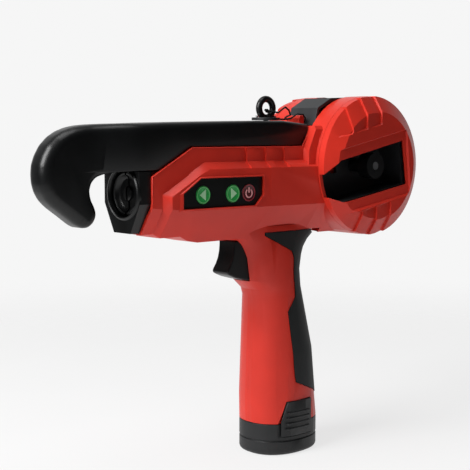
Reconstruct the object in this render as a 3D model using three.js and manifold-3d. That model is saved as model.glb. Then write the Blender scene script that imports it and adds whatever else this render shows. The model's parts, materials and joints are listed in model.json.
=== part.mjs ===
// Electric vine tying tool: hooked guide arm, twister nose, reel drum, trigger grip and battery.
// Millimetres. +X points forward to the hook, +Y to the tool's left, +Z up.
// The origin is the middle of the battery's flat base, which the tool stands on.
import * as THREE from "three";
import { mergeVertices } from "three/addons/utils/BufferGeometryUtils.js";
import Module from "manifold-3d";

const wasm = await Module();
wasm.setup();

// Fits and walls
const gap = 0.3;
const slideGap = 0.4;
const overrun = 4;
const mergeReach = 0.0005;
const shellWall = 2.4;
const gripWall = 2;
const rubberDepth = 1;
const rubberProud = 0.5;
const rubberFloorWall = 0.8;

// Battery
const batteryLength = 55;
const batteryWidth = 46;
const batteryBaseHeight = 21.5;
const batteryFootRound = 2.2;
const grooveHeight = 9.4;
const grooveTall = 1;
const grooveDeep = 0.8;
const batteryFloor = 2.5;
const towerMiddle = 2.3;
const towerAside = 0.7;
const towerTop = 69.5;
const towerWall = 0.8;
const cellDiameter = 18;
const cellLength = 65;
const latchRear = -10;
const latchFront = 17;
const latchTopFront = 11.3;
const latchBottom = 13;
const latchTop = 36.5;
const latchSlot = 0.8;
const latchThick = 2.6;
const latchProud = 0.8;
const latchTravel = 1.2;
const terminalLength = 18;
const terminalWidth = 12;
const terminalHeight = 6;

// Grip
const gripTop = 152;
const gripCornerPower = 2.3;
const gripSteps = 32;

// Housing
const roofHeight = 208.3;
const stripHalf = 19.5;
const cheekHalf = 24.5;
const barrelHalf = 27.5;
const creaseHeight = 170;
const bellyDrop = 21.2;
const chinDrop = 14;
const bellyHeight = creaseHeight - bellyDrop;
const chinHeight = creaseHeight - chinDrop;
const noseBorder = 124.5;
const borderShoulder = 191.2;
const borderLean = 33;
const borderTopX = noseBorder - borderLean;
const cheekTop = 199.3;
const cheekChamfer = 4.3;
const shoulderTop = 222;
const shoulderHalf = 25;
const shoulderRearX = -43.6;
const armEndX = -3.8;
const armEndLean = 7.5;
const borderSetback = 2;
const cheekFront = 111.4;
const cheekEdge = 115;
const cheekCorner = 82;
const bellyStepFront = 96;
const bellyStepRear = 90;
const panelFlatRear = 30;
const barrelFront = -12;
const bellyHalf = 12;
const chinHalf = 9.5;
const creaseRise = 1.6;
const cornerTop = 191;
const cornerInner = 187.9;
const frontTop = 182.2;
const frontInner = 179.3;
const bellyStepRise = 4.6;
const bellyMidRise = 1.6;
const flankGillRear = 13.1;
const flankGillPitch = 16.8;
const flankGillCount = 3;
const flankGillLength = 11;
const flankGillDeep = 1.8;

// Drum
const drumX = -58;
const drumZ = 194.5;
const drumRadius = 48;
const drumRimHalf = 33;
const drumFaceHalf = 40;
const drumFaceRadius = 37;
const drumSteps = 48;
const coverWall = 2.8;
const gillDeep = 1.7;
const gillPitch = 14.3;
const recessDeep = 1.5;
const coverCrumb = 0.01;

// Reel lid
const lidHalf = 12.9;
const lidWall = 2.2;
const lidFrontX = -21.6;
const lidFrontLean = 2.7;
const lidFrontTop = 234.3;
const lidCrownX = -37.7;
const lidCrown = 241.2;
const lidAngleFrom = 96;
const lidAngleTo = 174.5;
const lidArcSteps = 9;
const hingeAngle = 176.5;
const hingeRadius = 3.2;
const hingePinRadius = 1.4;
const hingeEarWidth = 4.5;
const lidLatchLength = 5.2;
const lidLatchWidth = 11;
const lidLatchHeight = 6.8;
const lidLatchX = -16.3;
const lidLatchTravel = 1.6;
const lidLatchCut = 0.7;

// Reel
const reelRoom = 8;
const reelRadius = drumRadius - reelRoom;
const reelHalf = 12;
const reelFlange = 2;
const reelCoreRadius = 17;
const reelBore = 5.2;
const windingRadius = 34;
const chamberWallThick = 2;
const wallHoleX = -38;
const wallHoleRadius = 5.6;
const wallHoleFlat = 2.4;
const wallHoleSides = 24;
const axleRadius = 4.8;
const knobRadius = 9;
const knobHeight = 9;
const knobTop = 36.5;

// Guide arm and hook
const armHalf = 18;
const armTopRear = 223.2;
const armTopRing = 225.4;
const armTopFront = 223.2;
const armUnder = 194.8;
const armRound = 5;
const neckSetback = 5;
const neckLength = 34;
const hookHalf = 9.3;
const hookRound = 5;
const noseReach = 6.5;
const noseFace = noseBorder + noseReach;
const neckRear = noseFace - neckSetback;
const neckFront = neckRear + neckLength;
const hookReach = 60.2;
const hookDrop = 60.2;
const hookTipLow = 162.2;
const armChannelHalf = 13;
const armChannelTop = 217.5;
const armChannelReach = 3;
const armChannelFront = noseFace + armChannelReach;
const armChannelRear = 4;

// Nose and twister
const noseHalf = 18;
const noseTaperHeight = 175;
const noseChinHalf = 8.5;
const noseChinStep = 1;
const noseChinHeight = chinHeight + noseChinStep;
const noseDeep = 22;
const twisterY = 2;
const twisterZ = 181;
const boreRadius = 14.2;
const boreDeep = 9;
const twisterRadius = 13.6;
const twisterThick = 6;
const twisterSetback = 1.6;
const twisterSlot = 2.4;
const twisterDishRadius = 9.8;
const twisterDishDeep = 2;
const twisterSlotDeep = 4.5;
const twisterShaftRadius = 3;
const bearingRadius = 7;
const bearingWidth = 5;
const gearModule = 1.3;
const gearWidth = 4;
const twisterGearSetback = 4;
const gearTeeth = 16;
const pinionTeeth = 8;
const twisterMotorRadius = 8;
const twisterMotorLength = 40;
const motorShaftRadius = 1.2;

// Cutter
const cutterSetback = 13;
const cutterX = noseFace - cutterSetback;
const cutterThick = 1.2;
const cutterWidth = 7;
const cutterHeight = 6;
const cutterTravel = 3;
const cutterClear = 2;

// Wire feed
const feedX = 30;
const feedRollerZ = 189;
const feedRollerRadius = 6.8;
const pressureRollerRadius = 4.3;
const rollerHalf = 4;
const wireGap = 0.5;
const feedShaftRadius = 1.8;
const feedGearSetback = 8;
const pressurePinRadius = 1.3;
const inletX = -13.6;
const inletRise = 4;
const feedMotorRadius = 8.5;
const feedMotorLength = 26;
const tubeRadius = 1.9;
const tubeBore = 0.9;
const tubeSides = 6;

// Button panel
const panelRear = 37;
const panelFront = 103.2;
const panelTop = 189.6;
const panelBottom = 171.2;
const panelCutFront = 14;
const panelCutRear = 6.4;
const panelSetback = 1.4;
const panelThick = 1.6;
const buttonHeight = 179.4;
const buttonRadius = 5.6;
const powerRadius = 5.5;
const buttonProud = 0.5;
const buttonLength = 4;
const buttonBackX = 86.4;
const buttonForwardX = 62;
const buttonPowerX = 48.7;
const boardThick = 1.6;
const boardHeight = 18;
const boardPostRadius = 1.2;
const boardLength = 42;

// Trigger
const triggerHalf = 7.8;
const triggerTop = 147;
const triggerReach = 53.2;
const triggerRear = 24.5;
const triggerDrop = 27.1;
const triggerTravel = 6;
const triggerSill = 2;
const triggerRound = 1.6;
const switchLength = 18;
const switchHeight = 18;
const switchWidth = 12;
const springRadius = 2.6;
const springWire = 0.8;
const springCurls = 5;
const springSeat = 4;

// Eye ring and cord
const ringX = 12;
const ringOuter = 8.4;
const ringTop = 242;
const ringWireRadius = 2.2;
const ringBaseRadius = 9.6;
const ringBaseHeight = 1.8;
const ringNeckRadius = 2.6;
const baseScrewRadius = 1.1;
const baseScrewShank = 0.7;
const baseScrewSpread = 8;
const baseScrewHeight = 0.9;
const cordRadius = 0.6;

// Housing screws
const screwHeadRadius = 2.8;
const screwHeadHeight = 2;
const screwShankRadius = 1.3;
const screwBossRadius = 3.7;
const screwReach = 9;

// Ribs
const ribThick = 2;
const ribHalf = 13;
const ribInset = 4;

// Materials
const plastic = (color, roughness) => new THREE.MeshStandardMaterial({ color, roughness, metalness: 0 });
const metal = (color, roughness) => new THREE.MeshStandardMaterial({ color, roughness, metalness: 1 });
const redAbs = plastic(0xcf2a20, 0.4);
const blackGloss = plastic(0x0c0d0d, 0.3);
const blackMatte = plastic(0x1c1e20, 0.6);
const gripRubber = plastic(0x15191a, 0.8);
const batteryBlack = plastic(0x27282a, 0.55);
const buttonGreen = plastic(0x1f8a3a, 0.4);
const buttonRed = plastic(0x7a1020, 0.4);
const boardGreen = plastic(0x1d5a33, 0.5);
const cellBlue = plastic(0x2c5f9e, 0.4);
const steel = metal(0xb4b6b8, 0.35);
const brass = metal(0xb08a45, 0.4);
const wireCoat = plastic(0x6e7a52, 0.5);

// Solids from closed geometry, and back
function solid(geometry) {
  const bare = geometry.clone();
  bare.deleteAttribute("normal");
  bare.deleteAttribute("uv");
  const merged = mergeVertices(bare, mergeReach);
  const mesh = new wasm.Mesh({
    numProp: 3,
    vertProperties: Float32Array.from(merged.attributes.position.array),
    triVerts: Uint32Array.from(merged.index.array),
  });
  return new wasm.Manifold(mesh);
}

function geometryOf(body) {
  const mesh = body.getMesh();
  const geometry = new THREE.BufferGeometry();
  geometry.setAttribute("position", new THREE.BufferAttribute(Float32Array.from(mesh.vertProperties), 3));
  geometry.setIndex(new THREE.BufferAttribute(Uint32Array.from(mesh.triVerts), 1));
  geometry.computeVertexNormals();
  return geometry;
}

const part = new THREE.Group();

function add(name, body, material, place = [0, 0, 0]) {
  const mesh = new THREE.Mesh(geometryOf(body), material);
  mesh.name = name;
  mesh.position.set(...place);
  part.add(mesh);
  return mesh;
}

// Prisms: an outline drawn in two axes and extruded along the third
const xAxis = new THREE.Vector3(1, 0, 0);
const yAxis = new THREE.Vector3(0, 1, 0);
const zAxis = new THREE.Vector3(0, 0, 1);

function extrude(points, depth, options = {}) {
  const shape = new THREE.Shape(points.map(([a, b]) => new THREE.Vector2(a, b)));
  return new THREE.ExtrudeGeometry(shape, { depth, bevelEnabled: false, curveSegments: 8, ...options });
}

function prismX(points, from, to, options) {
  const turn = new THREE.Matrix4().makeBasis(yAxis, zAxis, xAxis);
  return solid(extrude(points, to - from, options).applyMatrix4(turn).translate(from, 0, 0));
}

function prismY(points, from, to, options) {
  const turn = new THREE.Matrix4().makeBasis(xAxis, zAxis, yAxis.clone().negate());
  return solid(extrude(points, to - from, options).applyMatrix4(turn).translate(0, to, 0));
}

function prismZ(points, from, to) {
  return solid(extrude(points, to - from).translate(0, 0, from));
}

function block(x0, x1, y0, y1, z0, z1) {
  const box = new THREE.BoxGeometry(x1 - x0, y1 - y0, z1 - z0);
  return solid(box.translate((x0 + x1) / 2, (y0 + y1) / 2, (z0 + z1) / 2));
}

// Rods along one axis, from one end to the other; a and b are the centre in the other two axes
function rodX(radius, from, to, y, z, sides = 20) {
  const rod = new THREE.CylinderGeometry(radius, radius, to - from, sides).rotateZ(-Math.PI / 2);
  return solid(rod.translate((from + to) / 2, y, z));
}

function rodY(radius, from, to, x, z, sides = 20) {
  const rod = new THREE.CylinderGeometry(radius, radius, to - from, sides);
  return solid(rod.translate(x, (from + to) / 2, z));
}

function rodZ(radius, from, to, x, y, sides = 20) {
  const rod = new THREE.CylinderGeometry(radius, radius, to - from, sides).rotateX(Math.PI / 2);
  return solid(rod.translate(x, y, (from + to) / 2));
}

// A turned shape about a line along Y
function turnedY(profile, x, z, steps) {
  const points = profile.map(([radius, y]) => new THREE.Vector2(radius, y));
  return solid(new THREE.LatheGeometry(points, steps).translate(x, 0, z));
}

// A closed body through rings with equal numbers of points, the first ring at the low end
function loft(given) {
  const clockwise = THREE.ShapeUtils.isClockWise(flatRing(given[0]));
  const rings = clockwise ? given.map((ring) => [...ring].reverse()) : given;
  const count = rings[0].length;
  const last = (rings.length - 1) * count;
  const triangles = [];
  for (let level = 0; level + 1 < rings.length; level += 1) {
    for (let k = 0; k < count; k += 1) {
      const a = level * count + k;
      const b = level * count + ((k + 1) % count);
      triangles.push(a, b, b + count, a, b + count, a + count);
    }
  }
  const low = THREE.ShapeUtils.triangulateShape(flatRing(rings[0]), []);
  const high = THREE.ShapeUtils.triangulateShape(flatRing(rings[rings.length - 1]), []);
  for (const [a, b, c] of low) triangles.push(a, c, b);
  for (const [a, b, c] of high) triangles.push(last + a, last + b, last + c);
  const geometry = new THREE.BufferGeometry();
  geometry.setAttribute("position", new THREE.BufferAttribute(new Float32Array(rings.flat(2)), 3));
  geometry.setIndex(triangles);
  return solid(geometry);
}

// A ring lies in a plane across X or across Z; the other two axes are its flat outline
function flatRing(ring) {
  const acrossX = ring.every(([x]) => x === ring[0][0]);
  return ring.map(([x, y, z]) => (acrossX ? new THREE.Vector2(y, z) : new THREE.Vector2(x, y)));
}

// A tube along a smooth curve through points; a bore makes it hollow
function tube(points, radius, bore, steps, sides) {
  const path = new THREE.CatmullRomCurve3(points.map((p) => new THREE.Vector3(...p)));
  const section = new THREE.Shape(circle(radius, sides));
  if (bore > 0) section.holes.push(new THREE.Path(circle(bore, sides)));
  return solid(new THREE.ExtrudeGeometry(section, { steps, extrudePath: path, bevelEnabled: false }));
}

function circle(radius, sides) {
  const points = [];
  for (let k = 0; k < sides; k += 1) {
    const turn = (2 * Math.PI * k) / sides;
    points.push(new THREE.Vector2(radius * Math.cos(turn), radius * Math.sin(turn)));
  }
  return points;
}

// An outline in X and Z extruded along Y about the middle plane, with its long edges rounded
function roundedPrismY(points, half, round, steps = 3) {
  const flat = points.map(([x, z]) => new THREE.Vector2(x, z));
  const outline = THREE.ShapeUtils.isClockWise(flat) ? flat.reverse() : flat;
  const levels = [];
  for (let k = 0; k <= steps; k += 1) {
    const turn = ((Math.PI / 2) * k) / steps;
    levels.push([round * (1 - Math.sin(turn)), half - round + round * Math.cos(turn)]);
  }
  const rings = levels.map(([inset, level]) => insetRing(outline, inset, -level));
  const mirrored = [...levels].reverse().map(([inset, level]) => insetRing(outline, inset, level));
  return loft([...rings, ...mirrored]).rotate([90, 0, 0]);
}

function insetRing(outline, inset, level) {
  return outline.map((point, k) => {
    const before = outline[(k + outline.length - 1) % outline.length];
    const after = outline[(k + 1) % outline.length];
    const arriving = point.clone().sub(before).normalize();
    const leaving = after.clone().sub(point).normalize();
    const inward = new THREE.Vector2(-arriving.y - leaving.y, arriving.x + leaving.x).normalize();
    const miter = inset / Math.max(inward.dot(new THREE.Vector2(-arriving.y, arriving.x)), 1 / 2);
    return [point.x + inward.x * miter, point.y + inward.y * miter, level];
  });
}

const join = (...bodies) => bodies.reduce((whole, body) => whole.add(body));

// Grip and battery sections: rounded rectangles with soft corners, from low to high
// Each row: height, middle, length and width, as shares of the grip's height and the battery's sides
const gripShares = [
  [0, 0, 1, 1],
  [0.139, 0.022, 0.979, 0.972],
  [0.37, 0.041, 0.903, 0.937],
  [0.562, 0.08, 0.787, 0.85],
  [0.662, 0.111, 0.732, 0.8],
  [0.7, 0.137, 0.743, 0.79],
  [0.723, 0.17, 0.814, 0.785],
  [0.75, 0.207, 0.89, 0.78],
  [0.792, 0.218, 0.903, 0.775],
  [0.869, 0.213, 0.973, 0.765],
  [0.908, 0.215, 1.064, 0.76],
  [0.942, 0.209, 1.199, 0.75],
  [1, 0.209, 1.57, 0.74],
];
const gripBottom = batteryBaseHeight + slideGap;

function softRing(middle, length, width, z, steps = gripSteps) {
  const ring = [];
  for (let k = 0; k < steps; k += 1) {
    const turn = (2 * Math.PI * (k + 1 / 2)) / steps;
    const across = Math.cos(turn);
    const along = Math.sin(turn);
    const power = 2 / gripCornerPower;
    ring.push([
      middle + (length / 2) * Math.sign(across) * Math.abs(across) ** power,
      (width / 2) * Math.sign(along) * Math.abs(along) ** power,
      z,
    ]);
  }
  return ring;
}

function gripBody(grow, below, above) {
  const height = gripTop - gripBottom;
  const rings = gripShares.map(([up, middle, length, width]) => {
    const z = gripBottom + up * height;
    const long = length * batteryLength + 2 * grow;
    return softRing(middle * batteryLength, long, width * batteryWidth + 2 * grow, z);
  });
  const first = rings[0].map(([x, y, z]) => [x, y, z - below]);
  const last = rings[rings.length - 1].map(([x, y, z]) => [x, y, z + above]);
  if (below > 0) rings.unshift(first);
  if (above > 0) rings.push(last);
  return loft(rings);
}

// Outline of the rubber on the side of the grip: X as shares of the battery length, Z of the grip's height
const rubberShares = [
  [-1, 0.09],
  [-0.5, 0.095],
  [-0.309, 0.143],
  [0.073, 0.211],
  [0.091, 0.249],
  [0.125, 0.438],
  [0.162, 0.583],
  [0.024, 0.656],
  [0.024, 0.86],
  [0.067, 0.895],
  [0.273, 0.938],
  [0.5, 0.985],
  [0.5, 0.998],
  [-1, 0.998],
];

function rubberPrism(grow) {
  const height = gripTop - gripBottom;
  const points = rubberShares.map(([x, up], k) => {
    const lift = k >= rubberShares.length - 2 ? grow : -grow;
    return [x * batteryLength + (x > -1 ? grow : 0), gripBottom + up * height + lift];
  });
  return prismY(points, -batteryWidth, batteryWidth);
}

// Housing body: cross sections along X. Each row: X, cheek top, chamfer inner height, cheek half width,
// crease height, belly height and belly half width
const chamferInner = cheekTop - cheekChamfer;
const housingSections = [
  [drumX, cheekTop, chamferInner, barrelHalf, creaseHeight, bellyHeight, bellyHalf],
  [barrelFront, cheekTop, chamferInner, barrelHalf, creaseHeight, bellyHeight, bellyHalf],
  [panelFlatRear, cheekTop, chamferInner, cheekHalf, creaseHeight, bellyHeight, bellyHalf],
  [cheekCorner, cheekTop, chamferInner, cheekHalf, creaseHeight, bellyHeight, bellyHalf],
  [bellyStepRear, (cheekTop + cornerTop) / 2, (chamferInner + cornerInner) / 2, cheekHalf, creaseHeight,
    bellyHeight + bellyMidRise, bellyHalf],
  [bellyStepFront, cornerTop, cornerInner, cheekHalf, creaseHeight, bellyHeight + bellyStepRise, bellyHalf],
  [cheekFront, frontTop, frontInner, cheekHalf, creaseHeight + creaseRise,
    bellyHeight + bellyStepRise, bellyHalf],
  [cheekEdge, frontTop - creaseRise, frontInner - creaseRise, stripHalf, creaseHeight + creaseRise,
    chinHeight, chinHalf],
  [noseBorder + overrun, frontTop - 2 * creaseRise, frontInner - 2 * creaseRise, stripHalf,
    creaseHeight + 2 * creaseRise, chinHeight, chinHalf],
];

function housingRing([x, cheek, chamfer, half, crease, belly, bottomHalf], wall) {
  const right = [
    [stripHalf - wall, roofHeight - wall],
    [stripHalf - wall, cheek - wall / 2],
    [half - wall, chamfer - wall / 2],
    [half - wall, crease],
    [bottomHalf - wall / 2, belly + wall],
  ];
  const left = right.map(([y, z]) => [-y, z]).reverse();
  return [...right, ...left].map(([y, z]) => [x, y, z]);
}

function housingBody(wall, first = 0) {
  return loft(housingSections.slice(first).map((section) => housingRing(section, wall)));
}

// Front border of the red housing, seen from the side: a slant, then a nearly upright edge
const borderCornerX = noseBorder - borderSetback;
const borderSlope = (borderCornerX - borderTopX) / (roofHeight - borderShoulder);

function borderCutter() {
  const top = roofHeight + overrun;
  const points = [
    [borderTopX - overrun * borderSlope, top],
    [borderCornerX, borderShoulder],
    [borderCornerX, noseTaperHeight],
    [noseBorder, chinHeight - overrun],
    [noseBorder + 3 * overrun, chinHeight - overrun],
    [noseBorder + 3 * overrun, top],
  ];
  return prismY(points, -armHalf * 2, armHalf * 2);
}

function shoulderBody(wall) {
  const points = [
    [armEndX - gap - wall, roofHeight - shellWall - wall / 2],
    [armEndX - gap - wall - armEndLean, shoulderTop - wall],
    [shoulderRearX, shoulderTop - wall],
    [shoulderRearX, creaseHeight + wall],
    [armEndX - gap - wall, creaseHeight + wall],
  ];
  const bevel = shellWall;
  const half = shoulderHalf - wall;
  return prismX(
    [
      [half, creaseHeight],
      [half, shoulderTop - wall - bevel],
      [half - bevel, shoulderTop - wall],
      [bevel - half, shoulderTop - wall],
      [-half, shoulderTop - wall - bevel],
      [-half, creaseHeight],
    ],
    shoulderRearX,
    armEndX,
  ).intersect(prismY(points, -half, half));
}

// A spur gear about Z, from z = 0 up. One tooth's corners: shares of the tooth pitch and of the module
const toothShares = [
  [-0.28, -1.2],
  [-0.1, 1],
  [0.1, 1],
  [0.28, -1.2],
];
const pitchRadius = (teeth) => (gearModule * teeth) / 2;
const gearDistance = pitchRadius(gearTeeth) + pitchRadius(pinionTeeth);

function spurGear(teeth, turnShare) {
  const points = [];
  for (let k = 0; k < teeth; k += 1) {
    for (const [along, out] of toothShares) {
      const turn = (2 * Math.PI * (k + turnShare + along)) / teeth;
      const reach = pitchRadius(teeth) + out * gearModule;
      points.push([reach * Math.cos(turn), reach * Math.sin(turn)]);
    }
  }
  return prismZ(points, 0, gearWidth);
}

// A gear wheel has a tooth on the line to its pinion, and the pinion a gap
const gearWheel = () => spurGear(gearTeeth, 0);
const pinionWheel = () => spurGear(pinionTeeth, 1 / 2);

const triggerPocketRear = triggerRear - triggerTravel - triggerSill;

// Places that the drives, the wire tubes and the housing's ribs share
const sideWall = stripHalf - shellWall - gap;
const twisterFace = noseFace - twisterSetback;
const twisterBack = twisterFace - twisterThick;
const twisterGearX = noseFace - noseDeep - gearWidth - twisterGearSetback;
const twisterMotorTo = twisterGearX - 2 * gap;
const twisterMotorFrom = twisterMotorTo - twisterMotorLength;
const shaftRear = twisterGearX - 2 * gap;
const motorZ = twisterZ - gearDistance;
const cutterLow = twisterZ + boreRadius - cutterTravel;
const feedMotorZ = feedRollerZ - gearDistance;
const feedGearY = -rollerHalf - feedGearSetback;
const feedMotorFrom = feedGearY + 2 * gap;
const feedMotorTo = feedMotorFrom + feedMotorLength;
const pressureZ = feedRollerZ + feedRollerRadius + wireGap + pressureRollerRadius;
const switchFront = triggerPocketRear;
const switchMiddle = triggerTop - triggerDrop / 2;

// The steel tube inside the arm, as shares of the hook's reach and drop
const armTubeShares = [
  [0.08, 0.679],
  [0.335, 0.736],
  [0.558, 0.695],
  [0.694, 0.515],
  [0.686, 0.318],
  [0.55, 0.195],
  [0.415, 0.179],
];
const cutterLineShare = 0.632;
const cutterLine = hookTipLow + cutterLineShare * hookDrop;
const armTubePath = [
  [cutterX + cutterClear, 0, cutterLine],
  ...armTubeShares.map(([x, z]) => [noseFace + x * hookReach, 0, hookTipLow + z * hookDrop]),
];
const armTubeSteps = 20;

const wireLine = feedRollerZ + feedRollerRadius + wireGap / 2;
const bodyTubePath = [
  [feedX + feedRollerRadius, 0, wireLine],
  [(feedX + cutterX) / 2, 0, wireLine + (cutterLine - wireLine) / 4],
  [cutterX - cutterClear, 0, cutterLine],
];
const bodyTubeSteps = 10;
const inletTubeSteps = 8;
const inletTubePath = [
  [inletX, 0, wireLine + inletRise],
  [(inletX + feedX) / 2, 0, wireLine + inletRise / 4],
  [feedX - feedRollerRadius, 0, wireLine],
];

// Ribs inside the housing: they carry the motors, the wire tubes and the trigger's switch
function ribs() {
  const low = bellyHeight;
  const high = roofHeight;
  const plate = (x, from) => block(x - ribThick / 2, x + ribThick / 2, -ribHalf, ribHalf, from, high);
  const carriers = [
    plate(twisterMotorFrom + ribInset, low),
    plate(twisterMotorTo - ribInset, low),
    plate((inletX + feedX) / 2 - ribInset, wireLine - ribInset),
  ];
  const shelfTop = switchMiddle - switchHeight / 2 - gap;
  const shelf = block(switchFront - switchLength, switchFront, -cheekHalf, cheekHalf,
    shelfTop - ribThick, shelfTop);
  const cupRadius = feedMotorRadius + gap + ribThick / 2;
  const cup = rodY(cupRadius, feedMotorTo - ribInset, cheekHalf, feedX, feedMotorZ, 24);
  return join(...carriers, shelf, cup);
}

function ribHoles() {
  const motor = rodX(twisterMotorRadius + gap, twisterMotorFrom - gap, twisterMotorTo + gap,
    twisterY, motorZ, 24);
  const can = rodY(feedMotorRadius + gap, feedMotorFrom, feedMotorTo + gap, feedX, feedMotorZ, 24);
  const through = tube(bodyTubePath, tubeRadius + gap, 0, bodyTubeSteps, tubeSides);
  const inlet = tube(inletTubePath, tubeRadius + gap, 0, inletTubeSteps, tubeSides);
  return join(motor, can, through, inlet);
}

// Housing screws: X, Z and the head's seat, as shares of the nose border, the roof and the barrel's half
const screwShares = [
  [0.774, 0.9, 0.62],
  [0.37, 0.761, 0.455],
  [-0.061, 0.8545, 0.69],
  [-0.1, 1.03, 0.655],
  [0.112, 0.475, 0.436],
];
const screwSpots = screwShares.map(([x, z, seat]) => [x * noseBorder, z * roofHeight, seat * barrelHalf]);

function screwBosses() {
  const bosses = screwSpots.map(([x, z]) => {
    return rodY(screwBossRadius, -barrelHalf, barrelHalf, x, z, 12);
  });
  return join(...bosses);
}

function screwHoles() {
  const holes = screwSpots.map(([x, z, seat]) => {
    const head = rodY(screwHeadRadius + gap, -barrelHalf - overrun, -seat, x, z, 16);
    const shank = rodY(screwShankRadius + gap, -barrelHalf - overrun, screwReach + gap, x, z, 12);
    return head.add(shank);
  });
  return join(...holes);
}

const panelCutShare = 0.6;

function panelOutline(grow) {
  return [
    [panelRear - grow, panelBottom + panelCutRear],
    [panelRear + panelCutRear, panelBottom - grow],
    [panelFront + grow, panelBottom - grow],
    [panelFront + grow, panelTop - panelCutFront * panelCutShare],
    [panelFront - panelCutFront, panelTop + grow],
    [panelRear - grow, panelTop + grow],
  ];
}

// The three raised steps on the flank between the arm and the cheek
function flankGills() {
  const cutters = [];
  for (const side of [-1, 1]) {
    for (let k = 0; k < flankGillCount; k += 1) {
      const x = flankGillRear + k * flankGillPitch;
      const ring = (z, half) => {
        const outline = [
          [x + flankGillLength, half],
          [x, half - flankGillDeep],
          [x, half + 2 * overrun],
          [x + flankGillLength, half + 2 * overrun],
        ];
        return outline.map(([px, py]) => [px, side * py, z]);
      };
      const rings = [
        ring(chamferInner, cheekHalf),
        ring(cheekTop, stripHalf),
        ring(roofHeight + overrun, stripHalf),
      ];
      cutters.push(loft(rings));
    }
  }
  return join(...cutters);
}

// Lid outline from its front foot over the top of the drum to the hinge
const lidFoot = shoulderTop + gap;

function lidArc(radius, from, to) {
  const points = [];
  for (let k = 0; k <= lidArcSteps; k += 1) {
    const turn = THREE.MathUtils.degToRad(from + ((to - from) * k) / lidArcSteps);
    points.push([drumX + radius * Math.cos(turn), drumZ + radius * Math.sin(turn)]);
  }
  return points;
}

const hingeTurn = THREE.MathUtils.degToRad(hingeAngle);
const hingeX = drumX + drumRadius * Math.cos(hingeTurn);
const hingeZ = drumZ + drumRadius * Math.sin(hingeTurn);

// Ears on the drum's rim that carry the ends of the hinge pin
const hingePinHalf = lidHalf + slideGap + hingeEarWidth;

function hingeEars() {
  const ear = rodY(hingeRadius, lidHalf + slideGap, hingePinHalf, hingeX, hingeZ, 16);
  return ear.add(ear.mirror([0, 1, 0]));
}

function lidBody() {
  const outer = [
    [lidFrontX, lidFoot],
    [lidFrontX - lidFrontLean, lidFrontTop],
    [lidCrownX, lidCrown],
    ...lidArc(drumRadius, lidAngleFrom, lidAngleTo),
  ];
  const inner = [
    [lidFrontX - lidWall, lidFoot],
    [lidFrontX - lidFrontLean - lidWall, lidFrontTop - lidWall / 2],
    [lidCrownX - lidWall / 2, lidCrown - lidWall],
    ...lidArc(drumRadius - lidWall, lidAngleFrom, lidAngleTo),
  ].reverse();
  const band = prismY([...outer, ...inner], -lidHalf, lidHalf);
  const knuckle = rodY(hingeRadius, -lidHalf, lidHalf, hingeX, hingeZ, 16);
  const bore = rodY(hingePinRadius + gap, -lidHalf - overrun, lidHalf + overrun, hingeX, hingeZ, 12);
  return band.add(knuckle).subtract(bore);
}

function lidOpening() {
  const half = lidHalf + slideGap;
  const top = drumZ + drumRadius + 3 * overrun;
  const rear = drumX - drumRadius - 3 * overrun;
  const low = hingeZ - hingeRadius - slideGap;
  const points = [
    [lidFrontX - lidWall + gap, roofHeight],
    [lidFrontX - lidWall + gap, shoulderTop],
    [lidLatchX, shoulderTop],
    [lidLatchX, top],
    [rear, top],
    [rear, low],
    [hingeX + hingeRadius + slideGap, low],
  ];
  return prismY(points, -half, half);
}

function barrelBody(radius, half) {
  return rodY(radius, -half, half, drumX, drumZ, drumSteps);
}

// Pocket for the trigger and its travel in the front of the grip and under the belly
function triggerPocket() {
  const half = triggerHalf + slideGap;
  const low = triggerTop - triggerDrop - slideGap;
  return block(triggerPocketRear, triggerReach, -half, half, low, triggerTop + slideGap);
}

function lidLatchSlot() {
  const half = lidLatchLength / 4;
  const slot = [-lidLatchWidth / 4 - gap, lidLatchWidth / 4 + gap];
  return block(lidLatchX - half - gap, lidLatchX + half + lidLatchTravel + gap, ...slot,
    shoulderTop - 2 * shellWall, shoulderTop + overrun);
}

function housing() {
  const outside = join(
    housingBody(0),
    shoulderBody(0),
    barrelBody(drumRadius, barrelHalf),
    gripBody(0, 0, overrun),
    hingeEars(),
  );
  const inside = join(
    housingBody(shellWall, 1),
    shoulderBody(shellWall),
    barrelBody(drumRadius - shellWall, barrelHalf + overrun),
    gripBody(-gripWall, overrun, overrun),
  );
  const rubberSeat = rubberPrism(gap).subtract(gripBody(-rubberDepth - gap, overrun, 0));
  const floorDepth = rubberDepth + gap;
  const rubberFloor = gripBody(-floorDepth, 0, 0)
    .subtract(gripBody(-floorDepth - rubberFloorWall, overrun, overrun))
    .intersect(rubberPrism(2 * gap));
  const pinHole = rodY(hingePinRadius + gap, -hingePinHalf, hingePinHalf, hingeX, hingeZ, 12);
  return outside
    .subtract(inside)
    .add(screwBosses().intersect(outside))
    .add(ribs().intersect(outside).subtract(ribHoles()))
    .add(rubberFloor)
    .subtract(rubberSeat.intersect(gripBody(overrun, overrun, 0)))
    .subtract(borderCutter())
    .subtract(lidOpening())
    .subtract(pinHole)
    .subtract(triggerPocket())
    .subtract(lidLatchSlot())
    .subtract(flankGills())
    .subtract(latchWindows())
    .subtract(screwHoles());
}

// Side outline of a battery latch
function latchOutline(slot, rise) {
  return [
    [latchRear - slot, latchBottom - rise],
    [latchFront + slot, latchBottom - rise],
    [latchFront + slot, batteryBaseHeight],
    [latchTopFront + slot, latchTop + rise],
    [latchRear - slot, latchTop + rise],
  ];
}

function latchWindows() {
  const inner = batteryWidth / 2 - latchThick - latchTravel - 2 * gap;
  const outline = latchOutline(latchSlot, gap);
  return prismY(outline, inner, batteryWidth).add(prismY(outline, -batteryWidth, -inner));
}

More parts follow.
